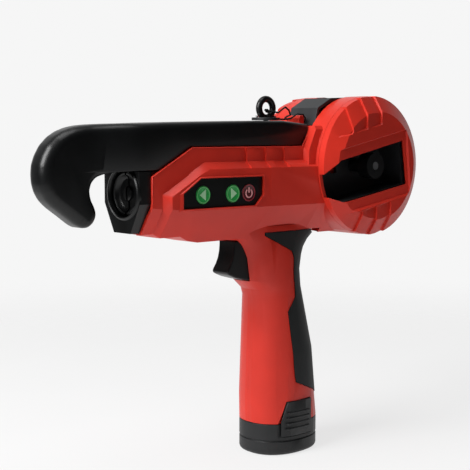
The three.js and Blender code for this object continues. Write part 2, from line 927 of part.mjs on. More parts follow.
function buildHousing() {
  const whole = housing();
  const reach = noseBorder + drumRadius * 4;
  const leftHalf = block(-reach, reach, gap / 2, reach, -overrun, reach * 2);
  const rightHalf = block(-reach, reach, -reach, -gap / 2, -overrun, reach * 2);
  const seatFrom = cheekHalf - panelSetback - panelThick - gap;
  const panelSeat = prismY(panelOutline(gap), seatFrom, cheekHalf + overrun);
  const stems = join(...buttonSpots.map(([, x, radius]) => {
    const from = cheekHalf - panelSetback - buttonLength - gap;
    return rodY(radius / 2 + gap, from, cheekHalf, x, buttonHeight, 12);
  }));
  add("left_body_shell", largest(whole.intersect(leftHalf).subtract(panelSeat).subtract(stems)), redAbs);
  add("right_body_shell", largest(whole.intersect(rightHalf)), redAbs);
}

// Crumbs left by cuts are dropped: the piece is the largest body
function largest(body) {
  const bodies = body.decompose();
  return bodies.reduce((best, next) => (next.volume() > best.volume() ? next : best));
}

// Guide arm: broad spine, a neck that narrows, and a rounder hook. Rows are shares of the
// hook's reach and drop
const hookShares = [
  [0.407, 1],
  [0.532, 0.99],
  [0.623, 0.973],
  [0.728, 0.937],
  [0.819, 0.884],
  [0.9, 0.806],
  [0.958, 0.709],
  [0.992, 0.62],
  [1, 0.53],
  [0.995, 0.442],
  [0.97, 0.355],
  [0.924, 0.276],
  [0.854, 0.209],
  [0.774, 0.153],
  [0.686, 0.09],
  [0.615, 0.038],
  [0.547, 0],
  [0.478, 0],
  [0.425, 0.04],
  [0.397, 0.096],
  [0.392, 0.146],
  [0.409, 0.203],
  [0.445, 0.276],
  [0.46, 0.357],
  [0.439, 0.434],
  [0.385, 0.488],
  [0.316, 0.515],
  [0.216, 0.535],
];
const neckShares = [0, 0.15, 0.3, 0.45, 0.6, 0.75, 0.9, 1];

function spineOutline() {
  return [
    [armEndX, roofHeight + gap],
    [armEndX - armEndLean, armTopRear],
    [ringX, armTopRing],
    [neckRear, armTopFront],
    [neckRear + armRound, armTopFront - gap],
    [neckRear + armRound, armUnder],
    [borderTopX + (roofHeight - armUnder) * borderSlope + gap, armUnder],
    [borderTopX + 2 * gap, roofHeight + gap],
  ];
}

function hookOutline() {
  const hook = hookShares.map(([x, z]) => [noseFace + x * hookReach, hookTipLow + z * hookDrop]);
  const inNeck = (neckRear + neckFront) / 2;
  return [[inNeck, hookTipLow + hookDrop - overrun], ...hook, [inNeck, armUnder + overrun]];
}

// Upright section of the neck, with the edges rounded as the spine's and the hook's are
function neckRing(share) {
  const eased = share * share * (3 - 2 * share);
  const half = armHalf + (hookHalf - gap - armHalf) * eased;
  const round = armRound + (hookRound - armRound) * eased;
  const x = neckRear + share * (neckFront - neckRear);
  const top = armTopFront + share * (hookTipLow + hookDrop - 2 * gap - armTopFront);
  const corners = [
    [half - round, armUnder + round, -1],
    [half - round, top - round, 0],
    [round - half, top - round, 1],
    [round - half, armUnder + round, 2],
  ];
  return corners.flatMap(([y, z, quarter]) => [0, 1, 2, 3].map((step) => {
    const turn = (Math.PI / 2) * (quarter + step / 3);
    return [x, y + round * Math.cos(turn), z + round * Math.sin(turn)];
  }));
}

function guideArm() {
  const spine = roundedPrismY(spineOutline(), armHalf, armRound);
  const hook = roundedPrismY(hookOutline(), hookHalf, hookRound, 4);
  const body = join(spine, loft(neckShares.map(neckRing)), hook);
  const channel = block(armChannelRear, armChannelFront, -armChannelHalf, armChannelHalf,
    roofHeight, armChannelTop);
  const tipExit = [noseFace + 4 * overrun, 0, armTubePath[armTubePath.length - 1][2]];
  const bore = tube([...armTubePath, tipExit], tubeRadius + 2 * gap, 0, armTubeSteps, tubeSides);
  const leadIn = tube(bodyTubePath, tubeRadius + 2 * gap, 0, bodyTubeSteps, tubeSides);
  const slotHalf = cutterWidth / 2 + gap;
  const slot = block(cutterX - cutterClear - gap, cutterX + cutterClear + gap, -slotHalf, slotHalf,
    armUnder - overrun, cutterLine + tubeRadius + gap);
  return body.subtract(channel).subtract(bore).subtract(leadIn).subtract(slot);
}

function buildArm() {
  add("guide_arm", largest(guideArm()), blackGloss);
  add("arm_guide_tube", tube(armTubePath, tubeRadius, tubeBore, armTubeSteps, tubeSides), steel);
}

// Nose block, twister and its drive
function buildNose() {
  const inner = stripHalf - shellWall - gap;
  const front = [
    [noseHalf, armUnder - gap],
    [noseHalf, noseTaperHeight],
    [noseChinHalf, noseChinHeight],
    [-noseChinHalf, noseChinHeight],
    [-noseHalf, noseTaperHeight],
    [-noseHalf, armUnder - gap],
  ];
  const back = [
    [inner, armUnder - gap],
    [inner, noseTaperHeight],
    [chinHalf - shellWall, chinHeight + shellWall + 2 * gap],
    [shellWall - chinHalf, chinHeight + shellWall + 2 * gap],
    [-inner, noseTaperHeight],
    [-inner, armUnder - gap],
  ];
  const flangeX = noseBorder + gap;
  const cornerX = borderCornerX + gap;
  const flange = prismX(front, cornerX, noseFace).subtract(
    prismY([
      [cornerX - overrun, noseTaperHeight],
      [cornerX, noseTaperHeight],
      [flangeX, noseChinHeight - overrun],
      [cornerX - overrun, noseChinHeight - overrun],
    ], -noseHalf - overrun, noseHalf + overrun),
  );
  const core = prismX(back, noseFace - noseDeep, noseFace).subtract(
    prismY([
      [borderTopX + (roofHeight - armUnder) * borderSlope + gap, armUnder + overrun],
      [noseBorder, borderShoulder],
      [noseFace + overrun, armUnder],
      [noseFace + overrun, armUnder + overrun],
    ], -noseHalf, noseHalf),
  );
  const slotHalf = cutterWidth / 2 + gap;
  const body = flange.add(core)
    .subtract(rodX(boreRadius, noseFace - boreDeep, noseFace + overrun, twisterY, twisterZ, 32))
    .subtract(rodX(bearingRadius + gap, noseFace - noseDeep - overrun,
      noseFace - noseDeep + bearingWidth + gap, twisterY, twisterZ, 20))
    .subtract(rodX(twisterShaftRadius + slideGap, noseFace - noseDeep, noseFace, twisterY, twisterZ, 12))
    .subtract(block(cutterX - cutterThick / 2 - gap, cutterX + cutterThick / 2 + gap, -slotHalf, slotHalf,
      cutterLow - cutterTravel - gap, armUnder + overrun));
  add("nose_block", largest(body), blackGloss);
}

function buildTwister() {
  const disc = rodX(twisterRadius, twisterBack, twisterFace, twisterY, twisterZ, 32);
  const dish = rodX(twisterDishRadius, twisterFace - twisterDishDeep, twisterFace + overrun,
    twisterY, twisterZ, 28);
  const slot = block(twisterFace - twisterSlotDeep, twisterFace + overrun, twisterY - twisterSlot / 2,
    twisterY + twisterSlot / 2, twisterZ - twisterRadius - overrun, twisterZ + twisterRadius + overrun);
  add("twister_head", disc.subtract(dish).subtract(slot), blackMatte);
  add("twister_shaft", rodX(twisterShaftRadius, shaftRear, twisterBack - gap, twisterY, twisterZ, 12), steel);
  const ringRear = noseFace - noseDeep;
  const ring = rodX(bearingRadius, ringRear, ringRear + bearingWidth, twisterY, twisterZ, 20)
    .subtract(rodX(twisterShaftRadius + gap, ringRear - overrun, noseFace, twisterY, twisterZ, 12));
  add("twister_bearing", ring, brass);
  const gearHole = rodX(twisterShaftRadius + gap, shaftRear - overrun, noseFace, twisterY, twisterZ, 12);
  const gear = gearWheel().rotate([0, 90, 0])
    .translate([twisterGearX, twisterY, twisterZ]).subtract(gearHole);
  add("twister_gear", gear, steel);
  const pinion = pinionWheel().rotate([0, 90, 0])
    .translate([twisterGearX, twisterY, motorZ])
    .subtract(rodX(motorShaftRadius + gap, shaftRear - overrun, noseFace, twisterY, motorZ, 10));
  add("twister_pinion", pinion, brass);
  const can = rodX(twisterMotorRadius, twisterMotorFrom, twisterMotorTo, twisterY, motorZ, 24);
  const shaft = rodX(motorShaftRadius, twisterMotorTo - gearWidth, twisterGearX + gearWidth,
    twisterY, motorZ, 10);
  add("twister_motor", can.add(shaft), steel);
}

function buildCutter() {
  const blade = prismX([
    [-cutterWidth / 2, cutterLow - cutterTravel / 2],
    [cutterWidth / 2, cutterLow - cutterTravel / 2],
    [cutterWidth / 2, cutterLow + cutterHeight / 2],
    [-cutterWidth / 2, cutterLow + cutterHeight / 2 - cutterThick],
  ], cutterX - cutterThick / 2, cutterX + cutterThick / 2);
  add("cutter_blade", blade, steel);
}

// Wire feed
function buildFeed() {
  const shaftHole = rodY(feedShaftRadius + gap, -barrelHalf, barrelHalf, feedX, feedRollerZ, 10);
  add("drive_roller", rodY(feedRollerRadius, -rollerHalf, rollerHalf, feedX, feedRollerZ, 28)
    .subtract(shaftHole), steel);
  add("feed_shaft", rodY(feedShaftRadius, -sideWall, sideWall, feedX, feedRollerZ, 10), steel);
  const gear = gearWheel().rotate([90, 0, 0])
    .translate([feedX, feedGearY, feedRollerZ]).subtract(shaftHole);
  add("feed_gear", gear, brass);
  const motorHole = rodY(motorShaftRadius + gap, -barrelHalf, barrelHalf, feedX, feedMotorZ, 10);
  const pinion = pinionWheel().rotate([90, 0, 0])
    .translate([feedX, feedGearY, feedMotorZ]).subtract(motorHole);
  add("feed_pinion", pinion, steel);
  const can = rodY(feedMotorRadius, feedMotorFrom, feedMotorTo, feedX, feedMotorZ, 24);
  const shaft = rodY(motorShaftRadius, feedGearY - gearWidth, feedMotorFrom + gearWidth,
    feedX, feedMotorZ, 10);
  add("feed_motor", can.add(shaft), steel);
  const pinHole = rodY(pressurePinRadius + gap, -barrelHalf, barrelHalf, feedX, pressureZ, 10);
  add("pressure_roller", rodY(pressureRollerRadius, -rollerHalf, rollerHalf, feedX, pressureZ, 24)
    .subtract(pinHole), steel);
  const pin = rodY(pressurePinRadius, -rollerHalf - gap, sideWall, feedX, pressureZ, 10);
  add("pressure_roller_pin", pin, steel);
  add("inlet_guide_tube", tube(inletTubePath, tubeRadius, tubeBore, inletTubeSteps, tubeSides), steel);
  add("body_guide_tube", tube(bodyTubePath, tubeRadius, tubeBore, bodyTubeSteps, tubeSides), steel);
}

// Button panel, buttons and board
const buttonSpots = [
  ["button_back", buttonBackX, buttonRadius, buttonGreen],
  ["button_forward", buttonForwardX, buttonRadius, buttonGreen],
  ["button_power", buttonPowerX, powerRadius, buttonRed],
];

function buildPanel() {
  const face = cheekHalf - panelSetback;
  let plate = prismY(panelOutline(0), face - panelThick, face);
  for (const [name, x, radius, material] of buttonSpots) {
    const hole = rodY(radius + gap, face - panelThick - overrun, face + overrun, x, buttonHeight, 24);
    plate = plate.subtract(hole);
    const cap = rodY(radius, face - panelThick / 2, face + buttonProud, x, buttonHeight, 24);
    const stem = rodY(radius / 2, face - buttonLength, face, x, buttonHeight, 12);
    add(name, cap.add(stem), material);
  }
  const boardFace = face - buttonLength - panelThick;
  const middle = (panelRear + panelFront) / 2;
  for (const x of [middle - boardLength / 2 + boardPostRadius, middle + boardLength / 2 - boardPostRadius]) {
    const postZ = panelBottom + boardPostRadius;
    plate = plate.add(rodY(boardPostRadius, boardFace + gap, face - panelThick / 2, x, postZ, 10));
  }
  add("button_panel", plate, blackGloss);
  const board = block(middle - boardLength / 2, middle + boardLength / 2, boardFace - boardThick, boardFace,
    panelBottom, panelBottom + boardHeight);
  add("control_board", board, boardGreen);
}

// Drum covers
function coverProfile() {
  const slope = (drumRadius - drumFaceRadius) / (drumFaceHalf - drumRimHalf);
  return [
    [0, drumFaceHalf],
    [drumFaceRadius, drumFaceHalf],
    [drumRadius, drumRimHalf],
    [drumRadius, barrelHalf + gap],
    [drumRadius - coverWall, barrelHalf + gap],
    [drumRadius - coverWall, drumRimHalf - coverWall / 2],
    [drumFaceRadius - coverWall / slope, drumFaceHalf - coverWall],
    [0, drumFaceHalf - coverWall],
  ].reverse();
}

// The window in the cover: shares of the drum's radius from its axis
const windowShares = [
  [0.783, 0.088],
  [-0.554, 0.363],
  [-0.652, -0.281],
  [0.675, -0.504],
  [0.977, -0.404],
  [0.99, -0.146],
];

// The shallow recess round the window, and the two strips that end the gills, in the same shares
const recessShares = [
  [1.042, 0.175],
  [-0.596, 0.51],
  [-0.704, -0.41],
  [1.042, -0.702],
];
const upperGillShares = [0.556, 0.254, -0.052];
const lowerGillShares = [0.346, 0.044, -0.267];
const upperStrip = { height: 0.575, slope: -0.212, side: 1 };
const lowerStrip = { height: -0.56, slope: -0.185, side: -1 };

const ofDrum = (shares) => shares.map(([x, z]) => [x * drumRadius, z * drumRadius]);

// A gill is a strip of the cover sheared inwards: deepest at its rear wall, flush a pitch further on
function gilled(cover, share, strip) {
  const rear = share * drumRadius;
  const end = (x) => strip.height * drumRadius + strip.slope * x;
  const rim = strip.side * (drumRadius + overrun);
  const front = rear + gillPitch - gap;
  const region = prismY([
    [rear, end(rear)],
    [front, end(front)],
    [front, rim],
    [rear, rim],
  ], barrelHalf + gap, drumFaceHalf + overrun);
  const lean = gillDeep / gillPitch;
  const sunk = cover.transform([1, lean, 0, 0, 0, 1, 0, 0, 0, 0, 1, 0, 0, -gillDeep - lean * rear, 0, 1]);
  return cover.subtract(region).add(sunk.intersect(region));
}

function reelCover() {
  let cover = turnedY(coverProfile(), 0, 0, drumSteps);
  for (const share of upperGillShares) {
    cover = gilled(cover, share, upperStrip);
  }
  for (const share of lowerGillShares) {
    cover = gilled(cover, share, lowerStrip);
  }
  return cover
    .subtract(prismY(ofDrum(recessShares), drumFaceHalf - recessDeep, drumFaceHalf + overrun))
    .subtract(prismY(ofDrum(windowShares), barrelHalf + overrun / 2, drumFaceHalf + overrun));
}

function buildDrum() {
  const cover = largest(largest(reelCover()).simplify(coverCrumb));
  add("left_reel_cover", cover, redAbs, [drumX, 0, drumZ]);
  add("right_reel_cover", cover.mirror([0, 1, 0]), redAbs, [drumX, 0, drumZ]);
  for (const [name, side] of [["left_chamber_wall", 1], ["right_chamber_wall", -1]]) {
    const from = lidHalf + 2 * gap;
    const disc = rodY(drumRadius - shellWall - gap, from, from + chamberWallThick, drumX, drumZ, drumSteps);
    const hub = rodY(axleRadius + gap, 0, drumFaceHalf, drumX, drumZ, 20);
    const hole = prismY(wallHoleOutline(), 0, drumFaceHalf);
    const wall = disc.subtract(hub).subtract(hole);
    add(name, side > 0 ? wall : wall.mirror([0, 1, 0]), blackMatte);
  }
}

// The D-shaped hole in the chamber wall, flat side to the rear
function wallHoleOutline() {
  return circle(wallHoleRadius, wallHoleSides)
    .map(({ x, y }) => [wallHoleX + Math.max(x, -wallHoleFlat), drumZ + y]);
}

function buildReel() {
  const profile = [
    [reelBore + gap, -reelHalf],
    [reelRadius, -reelHalf],
    [reelRadius, reelFlange - reelHalf],
    [reelCoreRadius, reelFlange - reelHalf],
    [reelCoreRadius, reelHalf - reelFlange],
    [reelRadius, reelHalf - reelFlange],
    [reelRadius, reelHalf],
    [reelBore + gap, reelHalf],
    [reelBore + gap, -reelHalf],
  ];
  add("reel", turnedY(profile, drumX, drumZ, drumSteps), redAbs);
  const inner = reelHalf - reelFlange - gap;
  const winding = rodY(windingRadius, -inner, inner, drumX, drumZ, drumSteps)
    .subtract(rodY(reelCoreRadius + gap, -reelHalf, reelHalf, drumX, drumZ, drumSteps));
  add("wire_winding", winding, wireCoat);
  const axleFrom = -lidHalf - 2 * gap - chamberWallThick - overrun;
  const axle = rodY(axleRadius, axleFrom, knobTop - knobHeight, drumX, drumZ, 20);
  const knob = rodY(knobRadius, knobTop - knobHeight - gap, knobTop, drumX, drumZ, 24);
  const seat = rodY(screwHeadRadius + gap, knobTop - screwHeadHeight - gap, knobTop + overrun,
    drumX, drumZ, 16);
  add("reel_axle", axle.add(knob).subtract(seat), blackGloss);
  add("axle_screw", rodY(screwHeadRadius, knobTop - screwHeadHeight, knobTop, drumX, drumZ, 16), steel);
}

function buildLid() {
  add("reel_lid", lidBody(), blackMatte);
  add("lid_hinge_pin", rodY(hingePinRadius, -hingePinHalf, hingePinHalf, hingeX, hingeZ, 12), steel);
  const cap = prismY([
    [-lidLatchLength / 2, 0],
    [lidLatchLength / 2, 0],
    [lidLatchLength / 2, lidLatchHeight * lidLatchCut],
    [lidLatchLength / 4, lidLatchHeight],
    [-lidLatchLength / 2, lidLatchHeight],
  ], -lidLatchWidth / 2, lidLatchWidth / 2);
  const stem = block(-lidLatchLength / 4, lidLatchLength / 4, -lidLatchWidth / 4, lidLatchWidth / 4,
    -shellWall - overrun / 2, gap);
  add("lid_latch", cap.add(stem), redAbs, [lidLatchX, 0, shoulderTop + gap]);
}

// Trigger, spring and switch. Outline rows: shares of the trigger's reach and drop
const triggerShares = [
  [0, 1],
  [0.784, 1],
  [0.784, 0.742],
  [0.843, 0.539],
  [0.923, 0.373],
  [0.993, 0.28],
  [1, 0.236],
  [0.958, 0.188],
  [0.749, 0.1],
  [0.47, 0.018],
  [0.331, 0],
  [0.296, 0.059],
  [0, 0.059],
];

function buildTrigger() {
  const reach = triggerReach - triggerRear;
  const low = triggerTop - triggerDrop;
  const outline = triggerShares.map(([x, z]) => [triggerRear + x * reach, low + z * triggerDrop]);
  const body = roundedPrismY(outline, triggerHalf, triggerRound, 2);
  const pocketZ = switchMiddle;
  const pocket = rodX(springRadius + springWire, triggerRear - overrun, triggerRear + springSeat,
    0, pocketZ, 16);
  add("trigger", body.subtract(pocket), blackGloss);
  const springFrom = triggerPocketRear + gap;
  const springTo = triggerRear + springSeat - gap;
  const coil = [];
  for (let k = 0; k <= springCurls * 8; k += 1) {
    const share = k / (springCurls * 8);
    const turn = 2 * Math.PI * springCurls * share;
    coil.push([springFrom + springWire + (springTo - springFrom - 2 * springWire) * share,
      springRadius * Math.cos(turn), pocketZ + springRadius * Math.sin(turn)]);
  }
  add("trigger_spring", tube(coil, springWire / 2, 0, springCurls * 8, 5), steel);
  add("trigger_switch", block(switchFront - switchLength, switchFront, -switchWidth / 2, switchWidth / 2,
    pocketZ - switchHeight / 2, pocketZ + switchHeight / 2), blackMatte);
}

function buildGripRubber() {
  const skin = gripBody(rubberProud, 0, 0).subtract(gripBody(-rubberDepth, overrun, overrun));
  const seat = rubberPrism(0);
  add("grip_rubber", largest(skin.intersect(seat).subtract(housingBody(0)).subtract(
    barrelBody(drumRadius + gap, barrelHalf))), gripRubber);
}

// Battery
function batteryLoft(middle, length, width, from, to) {
  return loft([softRing(middle, length, width, from), softRing(middle, length, width, to)]);
}

// The three cells' axes, each touching the two others but for the gap
const cellAcross = cellDiameter / 2 + gap / 2;
const cellRise = cellAcross * Math.sqrt(3);
const cellSpots = [
  [towerMiddle - cellAcross, towerAside - cellRise / 2],
  [towerMiddle + cellAcross, towerAside - cellRise / 2],
  [towerMiddle, towerAside + cellRise / 2],
];

// The upright hull of the three cells, grown all round
function cellStack(grow, from, to) {
  const round = cellSpots.map(([x, y]) => rodZ(cellDiameter / 2 + grow, from, to, x, y, 28));
  return wasm.Manifold.hull(round);
}

function buildBattery() {
  const foot = 2 * batteryFootRound;
  const groove = 2 * grooveDeep;
  const rows = [
    [0, -foot],
    [batteryFootRound / 3, -foot / 3],
    [batteryFootRound, 0],
    [grooveHeight, 0],
    [grooveHeight, -groove],
    [grooveHeight + grooveTall, -groove],
    [grooveHeight + grooveTall, 0],
    [batteryBaseHeight, 0],
  ];
  const outer = loft(rows.map(([z, grow]) => softRing(0, batteryLength + grow, batteryWidth + grow, z)));
  const cavity = cellStack(gap, batteryFloor, batteryBaseHeight + overrun);
  const pocketIn = batteryWidth / 2 - latchThick - latchTravel - gap;
  const pocket = prismY(latchOutline(latchSlot, gap), pocketIn, batteryWidth);
  const base = outer.subtract(cavity).subtract(pocket).subtract(pocket.mirror([0, 1, 0]));
  add("battery_base", base, batteryBlack);
  const towerFrom = batteryBaseHeight + gap;
  const tower = cellStack(gap + towerWall, towerFrom, towerTop)
    .subtract(cellStack(gap, towerFrom - overrun, towerTop - towerWall));
  add("battery_case", tower, batteryBlack);
  const cellFrom = batteryFloor + gap;
  cellSpots.forEach(([x, y], k) => {
    add(`battery_cell_${k + 1}`, rodZ(cellDiameter / 2, cellFrom, cellFrom + cellLength, x, y, 20), cellBlue);
  });
  for (const [name, side] of [["battery_latch_left", 1], ["battery_latch_right", -1]]) {
    const slab = prismY(latchOutline(0, 0), batteryWidth / 2 - latchThick, batteryWidth);
    const proud = 2 * latchProud;
    const follow = batteryLoft(0, batteryLength + proud, batteryWidth + proud, 0, latchTop + overrun);
    const latch = slab.intersect(follow);
    add(name, side > 0 ? latch : latch.mirror([0, 1, 0]), batteryBlack);
  }
  const halfLength = terminalLength / 2;
  const slots = [-1, 0, 1].map((k) => {
    const x = (k * terminalLength) / 3;
    return block(x - gap, x + gap, -terminalWidth / 4, terminalWidth / 4, towerTop + gap + terminalHeight / 3,
      towerTop + terminalHeight + overrun);
  });
  const contacts = block(-halfLength, halfLength, -terminalWidth / 2, terminalWidth / 2,
    towerTop + gap, towerTop + gap + terminalHeight);
  add("battery_terminals", contacts.subtract(join(...slots)), brass);
  const topFrom = towerTop + terminalHeight + 3 * gap;
  const socket = block(-halfLength, halfLength, -terminalWidth / 2, terminalWidth / 2, topFrom,
    topFrom + terminalHeight);
  const shelf = block(-batteryLength, batteryLength, -batteryWidth, batteryWidth,
    topFrom, topFrom + ribThick);
  const hollow = gripBody(-rubberDepth - rubberFloorWall - 2 * gap, 0, 0);
  add("terminal_block", socket.add(shelf.intersect(hollow)), blackMatte);
}

// Eye ring, base, screws and cord
const ringBaseZ = armTopRing + gap;
const ringTopOfBase = ringBaseZ + ringBaseHeight;
const ringMiddleZ = ringTop - ringOuter;

function buildEyeRing() {
  const base = rodZ(ringBaseRadius, ringBaseZ, ringTopOfBase, ringX, 0, 24)
    .subtract(rodZ(ringNeckRadius + gap, ringBaseZ - overrun, ringTopOfBase + overrun, ringX, 0, 16));
  const spots = [ringX - baseScrewSpread, ringX + baseScrewSpread];
  const holes = spots.map((x) => {
    return rodZ(baseScrewShank + gap, ringBaseZ - overrun, ringTopOfBase + overrun, x, 0, 10);
  });
  add("ring_base", base.subtract(join(...holes)), blackMatte);
  spots.forEach((x, k) => {
    const head = rodZ(baseScrewRadius, ringTopOfBase + gap, ringTopOfBase + gap + baseScrewHeight, x, 0, 12);
    const shank = rodZ(baseScrewShank, ringBaseZ, ringTopOfBase + 2 * gap, x, 0, 10);
    add(`ring_base_screw_${k + 1}`, head.add(shank), steel);
  });
  const middle = ringOuter - ringWireRadius;
  const torus = solid(new THREE.TorusGeometry(middle, ringWireRadius, 8, 20).rotateX(Math.PI / 2)
    .translate(ringX, 0, ringMiddleZ));
  const foot = ringTopOfBase + gap;
  const standing = block(ringX - ringOuter, ringX + ringOuter, -ringOuter, ringOuter,
    foot, ringTop + overrun);
  const neck = rodZ(ringNeckRadius, ringBaseZ + gap, foot + ringWireRadius, ringX, 0, 16);
  add("eye_ring", torus.intersect(standing).add(neck), blackGloss);
}

// The cord's route, chosen by hand: out of the eye, round the lid latch and back to the knot
const cordRoute = [
  [10.4, 0.7, 232],
  [9.6, 2.2, 232],
  [7.6, 3.6, 231.2],
  [4.4, 4, 230.8],
  [0.6, 3.6, 232.8],
  [-3.4, 2.8, 234.6],
  [-7.4, 2.2, 232.6],
  [-10.2, 0.8, 229.4],
  [-11, -3.6, 228.4],
  [-12.6, -6.8, 227.6],
  [-16, -7.6, 226],
  [-19.2, -6.4, 224],
  [-20.2, -2, 223.2],
  [-20.2, 3, 223.6],
  [-19.2, 6.6, 226.6],
  [-15.6, 7.8, 229.6],
  [-11.6, 6.2, 230.2],
  [-9, 2.4, 227],
  [-6, -1.4, 226.4],
  [-1, -2.6, 226.4],
  [2.2, -3.6, 228],
  [5, -4.4, 230.4],
  [7.6, -3.6, 231.6],
  [9.6, -2.2, 232],
  [10.4, -0.7, 232],
];
const cordSteps = 56;

function buildCord() {
  add("lanyard_cord", tube(cordRoute, cordRadius, 0, cordSteps, 8), gripRubber);
}

function buildScrews() {
  screwSpots.forEach(([x, z, seat], k) => {
    const under = -seat - gap;
    const head = rodY(screwHeadRadius, under - screwHeadHeight, under, x, z, 16);
    const shank = rodY(screwShankRadius, under - gap, screwReach, x, z, 10);
    add(`housing_screw_${k + 1}`, head.add(shank), steel);
  });
}

buildHousing();
buildArm();
buildNose();
buildTwister();
buildCutter();
buildFeed();
buildPanel();
buildDrum();
buildReel();
buildLid();
buildTrigger();
buildGripRubber();
buildBattery();
buildEyeRing();
buildCord();
buildScrews();

export default part;
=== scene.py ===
"""Electric vine tying tool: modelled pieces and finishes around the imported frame.

Metres, +X forward to the hook, +Y to the tool's left, +Z up, as in the frame.
Outlines are written in millimetres and scaled when a piece is finished.
"""
import json
import math

import bmesh
import bpy
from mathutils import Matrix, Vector


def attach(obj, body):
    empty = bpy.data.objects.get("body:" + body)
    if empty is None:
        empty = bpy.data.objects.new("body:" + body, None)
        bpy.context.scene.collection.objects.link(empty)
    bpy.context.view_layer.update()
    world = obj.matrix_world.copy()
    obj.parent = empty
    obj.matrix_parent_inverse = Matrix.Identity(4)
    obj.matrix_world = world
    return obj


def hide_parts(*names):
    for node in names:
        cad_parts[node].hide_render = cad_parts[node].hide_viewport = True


bl_info = {
    "name": "Vine Tying Tool",
    "version": (1, 0, 0),
    "blender": (4, 5, 0),
    "location": "3D View > Sidebar > Vine Tool",
    "description": "Models and finishes an electric vine tying tool around its packed frame",
    "category": "Add Mesh",
}

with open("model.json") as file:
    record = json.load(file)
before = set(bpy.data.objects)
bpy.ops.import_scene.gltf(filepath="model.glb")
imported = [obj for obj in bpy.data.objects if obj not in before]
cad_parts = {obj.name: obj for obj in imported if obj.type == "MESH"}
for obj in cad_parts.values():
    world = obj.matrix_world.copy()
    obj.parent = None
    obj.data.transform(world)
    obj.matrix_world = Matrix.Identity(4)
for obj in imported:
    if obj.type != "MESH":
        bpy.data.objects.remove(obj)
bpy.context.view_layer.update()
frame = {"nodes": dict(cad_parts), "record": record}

MILLIMETRE = 0.001
FULL_TURN = 2 * math.pi


def linear(hex_colour):
    """An sRGB hex colour as the linear colour that shaders take."""
    channels = [int(hex_colour[k:k + 2], 16) / 255 for k in (1, 3, 5)]
    bent = [c / 12.92 if c <= 0.04045 else ((c + 0.055) / 1.055) ** 2.4 for c in channels]
    return (*bent, 1.0)


class VINETOOL_PG_sizes(bpy.types.PropertyGroup):
    """Sizes that a user would change"""

    edge_rounding: bpy.props.FloatProperty(
        name="Edge Rounding", description="Radius of the housing's moulded edges",
        default=0.0007, min=0.0001, unit="LENGTH",
    )
    hook_rounding: bpy.props.FloatProperty(
        name="Hook Rounding", description="Radius of the guide arm's edges at the hook",
        default=0.0065, min=0.001, unit="LENGTH",
    )
    gill_depth: bpy.props.FloatProperty(
        name="Gill Depth", description="Height of each step in the reel cover",
        default=0.0015, min=0.0, unit="LENGTH",
    )
    lip_radius: bpy.props.FloatProperty(
        name="Lip Radius", description="Radius of the bead along the housing's border",
        default=0.0004, min=0.0001, unit="LENGTH",
    )
    cord_diameter: bpy.props.FloatProperty(
        name="Cord Diameter", description="Thickness of the lanyard cord",
        default=0.0012, min=0.0004, unit="LENGTH",
    )


class VINETOOL_PG_colours(bpy.types.PropertyGroup):
    """Colours of the moulded parts, as linear values"""

    housing: bpy.props.FloatVectorProperty(
        name="Housing", description="Red ABS of the housing and the reel covers",
        subtype="COLOR", size=4, min=0.0, max=1.0, default=linear("#c62c1e"),
    )
    arm: bpy.props.FloatVectorProperty(
        name="Guide Arm", description="Black nylon of the arm, nose and trigger",
        subtype="COLOR", size=4, min=0.0, max=1.0, default=linear("#090a0b"),
    )
    rubber: bpy.props.FloatVectorProperty(
        name="Grip Rubber", description="Overmoulded rubber behind the grip",
        subtype="COLOR", size=4, min=0.0, max=1.0, default=linear("#0f1213"),
    )
    battery: bpy.props.FloatVectorProperty(
        name="Battery", description="Dark grey ABS of the battery and its latches",
        subtype="COLOR", size=4, min=0.0, max=1.0, default=linear("#1b1c1d"),
    )


def sizes():
    """The panel's sizes."""
    return bpy.context.scene.vine_tool_sizes


def colours():
    """The panel's colours."""
    return bpy.context.scene.vine_tool_colours


# Shaping

# Points nearer to each other than these are one, in millimetres: of new shapes, and of the frame's nodes
SAME_POINT = 0.0005
SAME_NODE_POINT = 0.002
CUT_REACH = 0.001
# Share of an edge's length that is along y when it runs straight across a slab
ALONG_Y = 0.99
# How far an edge's end may lie off a slab's side and still be on it
ON_SIDE = 0.01
SIDE_SEGMENTS = 6
# Faces of a node that turn by less than this, in degrees, are one flat face
FLAT = 2.5


def linked(name, data):
    """A new object in the scene that holds that data."""
    made = bpy.data.objects.new(name, data)
    bpy.context.scene.collection.objects.link(made)
    return made


def mesh_of(shape, name="working"):
    """A mesh from a shape, which is used up."""
    mesh = bpy.data.meshes.new(name)
    shape.to_mesh(mesh)
    shape.free()
    return mesh


def removed(holder):
    """Deletes a working object with its mesh."""
    mesh = holder.data
    bpy.data.objects.remove(holder)
    bpy.data.meshes.remove(mesh)


def modified(holder):
    """The shape of a working object with its modifiers done; the object is used up."""
    bpy.context.view_layer.update()
    shape = bmesh.new()
    shape.from_object(holder, bpy.context.evaluated_depsgraph_get())
    removed(holder)
    return shape


def round_weighted(holder, width, segments, clamp):
    """Gives an object a modifier that rounds its weighted edges."""
    rounding = holder.modifiers.new("edge_rounding", "BEVEL")
    rounding.width = width
    rounding.segments = segments
    rounding.limit_method = "WEIGHT"
    rounding.use_clamp_overlap = clamp
    return rounding


def outward(shape):
    """The same shape with its faces turned outwards."""
    bmesh.ops.recalc_face_normals(shape, faces=shape.faces)
    return shape


def welded(shape):
    """The same shape with its coinciding points merged and its faces turned outwards."""
    bmesh.ops.remove_doubles(shape, verts=shape.verts, dist=SAME_POINT)
    return outward(shape)


def rectangle(left, right, low, high):
    """The corners of a rectangle."""
    return [(left, low), (right, low), (right, high), (left, high)]


def cylinder_rows(near, far, radius):
    """Profile rows of a solid cylinder from one place along its axis to another."""
    return [(near, 0), (near, radius), (far, radius), (far, 0)]


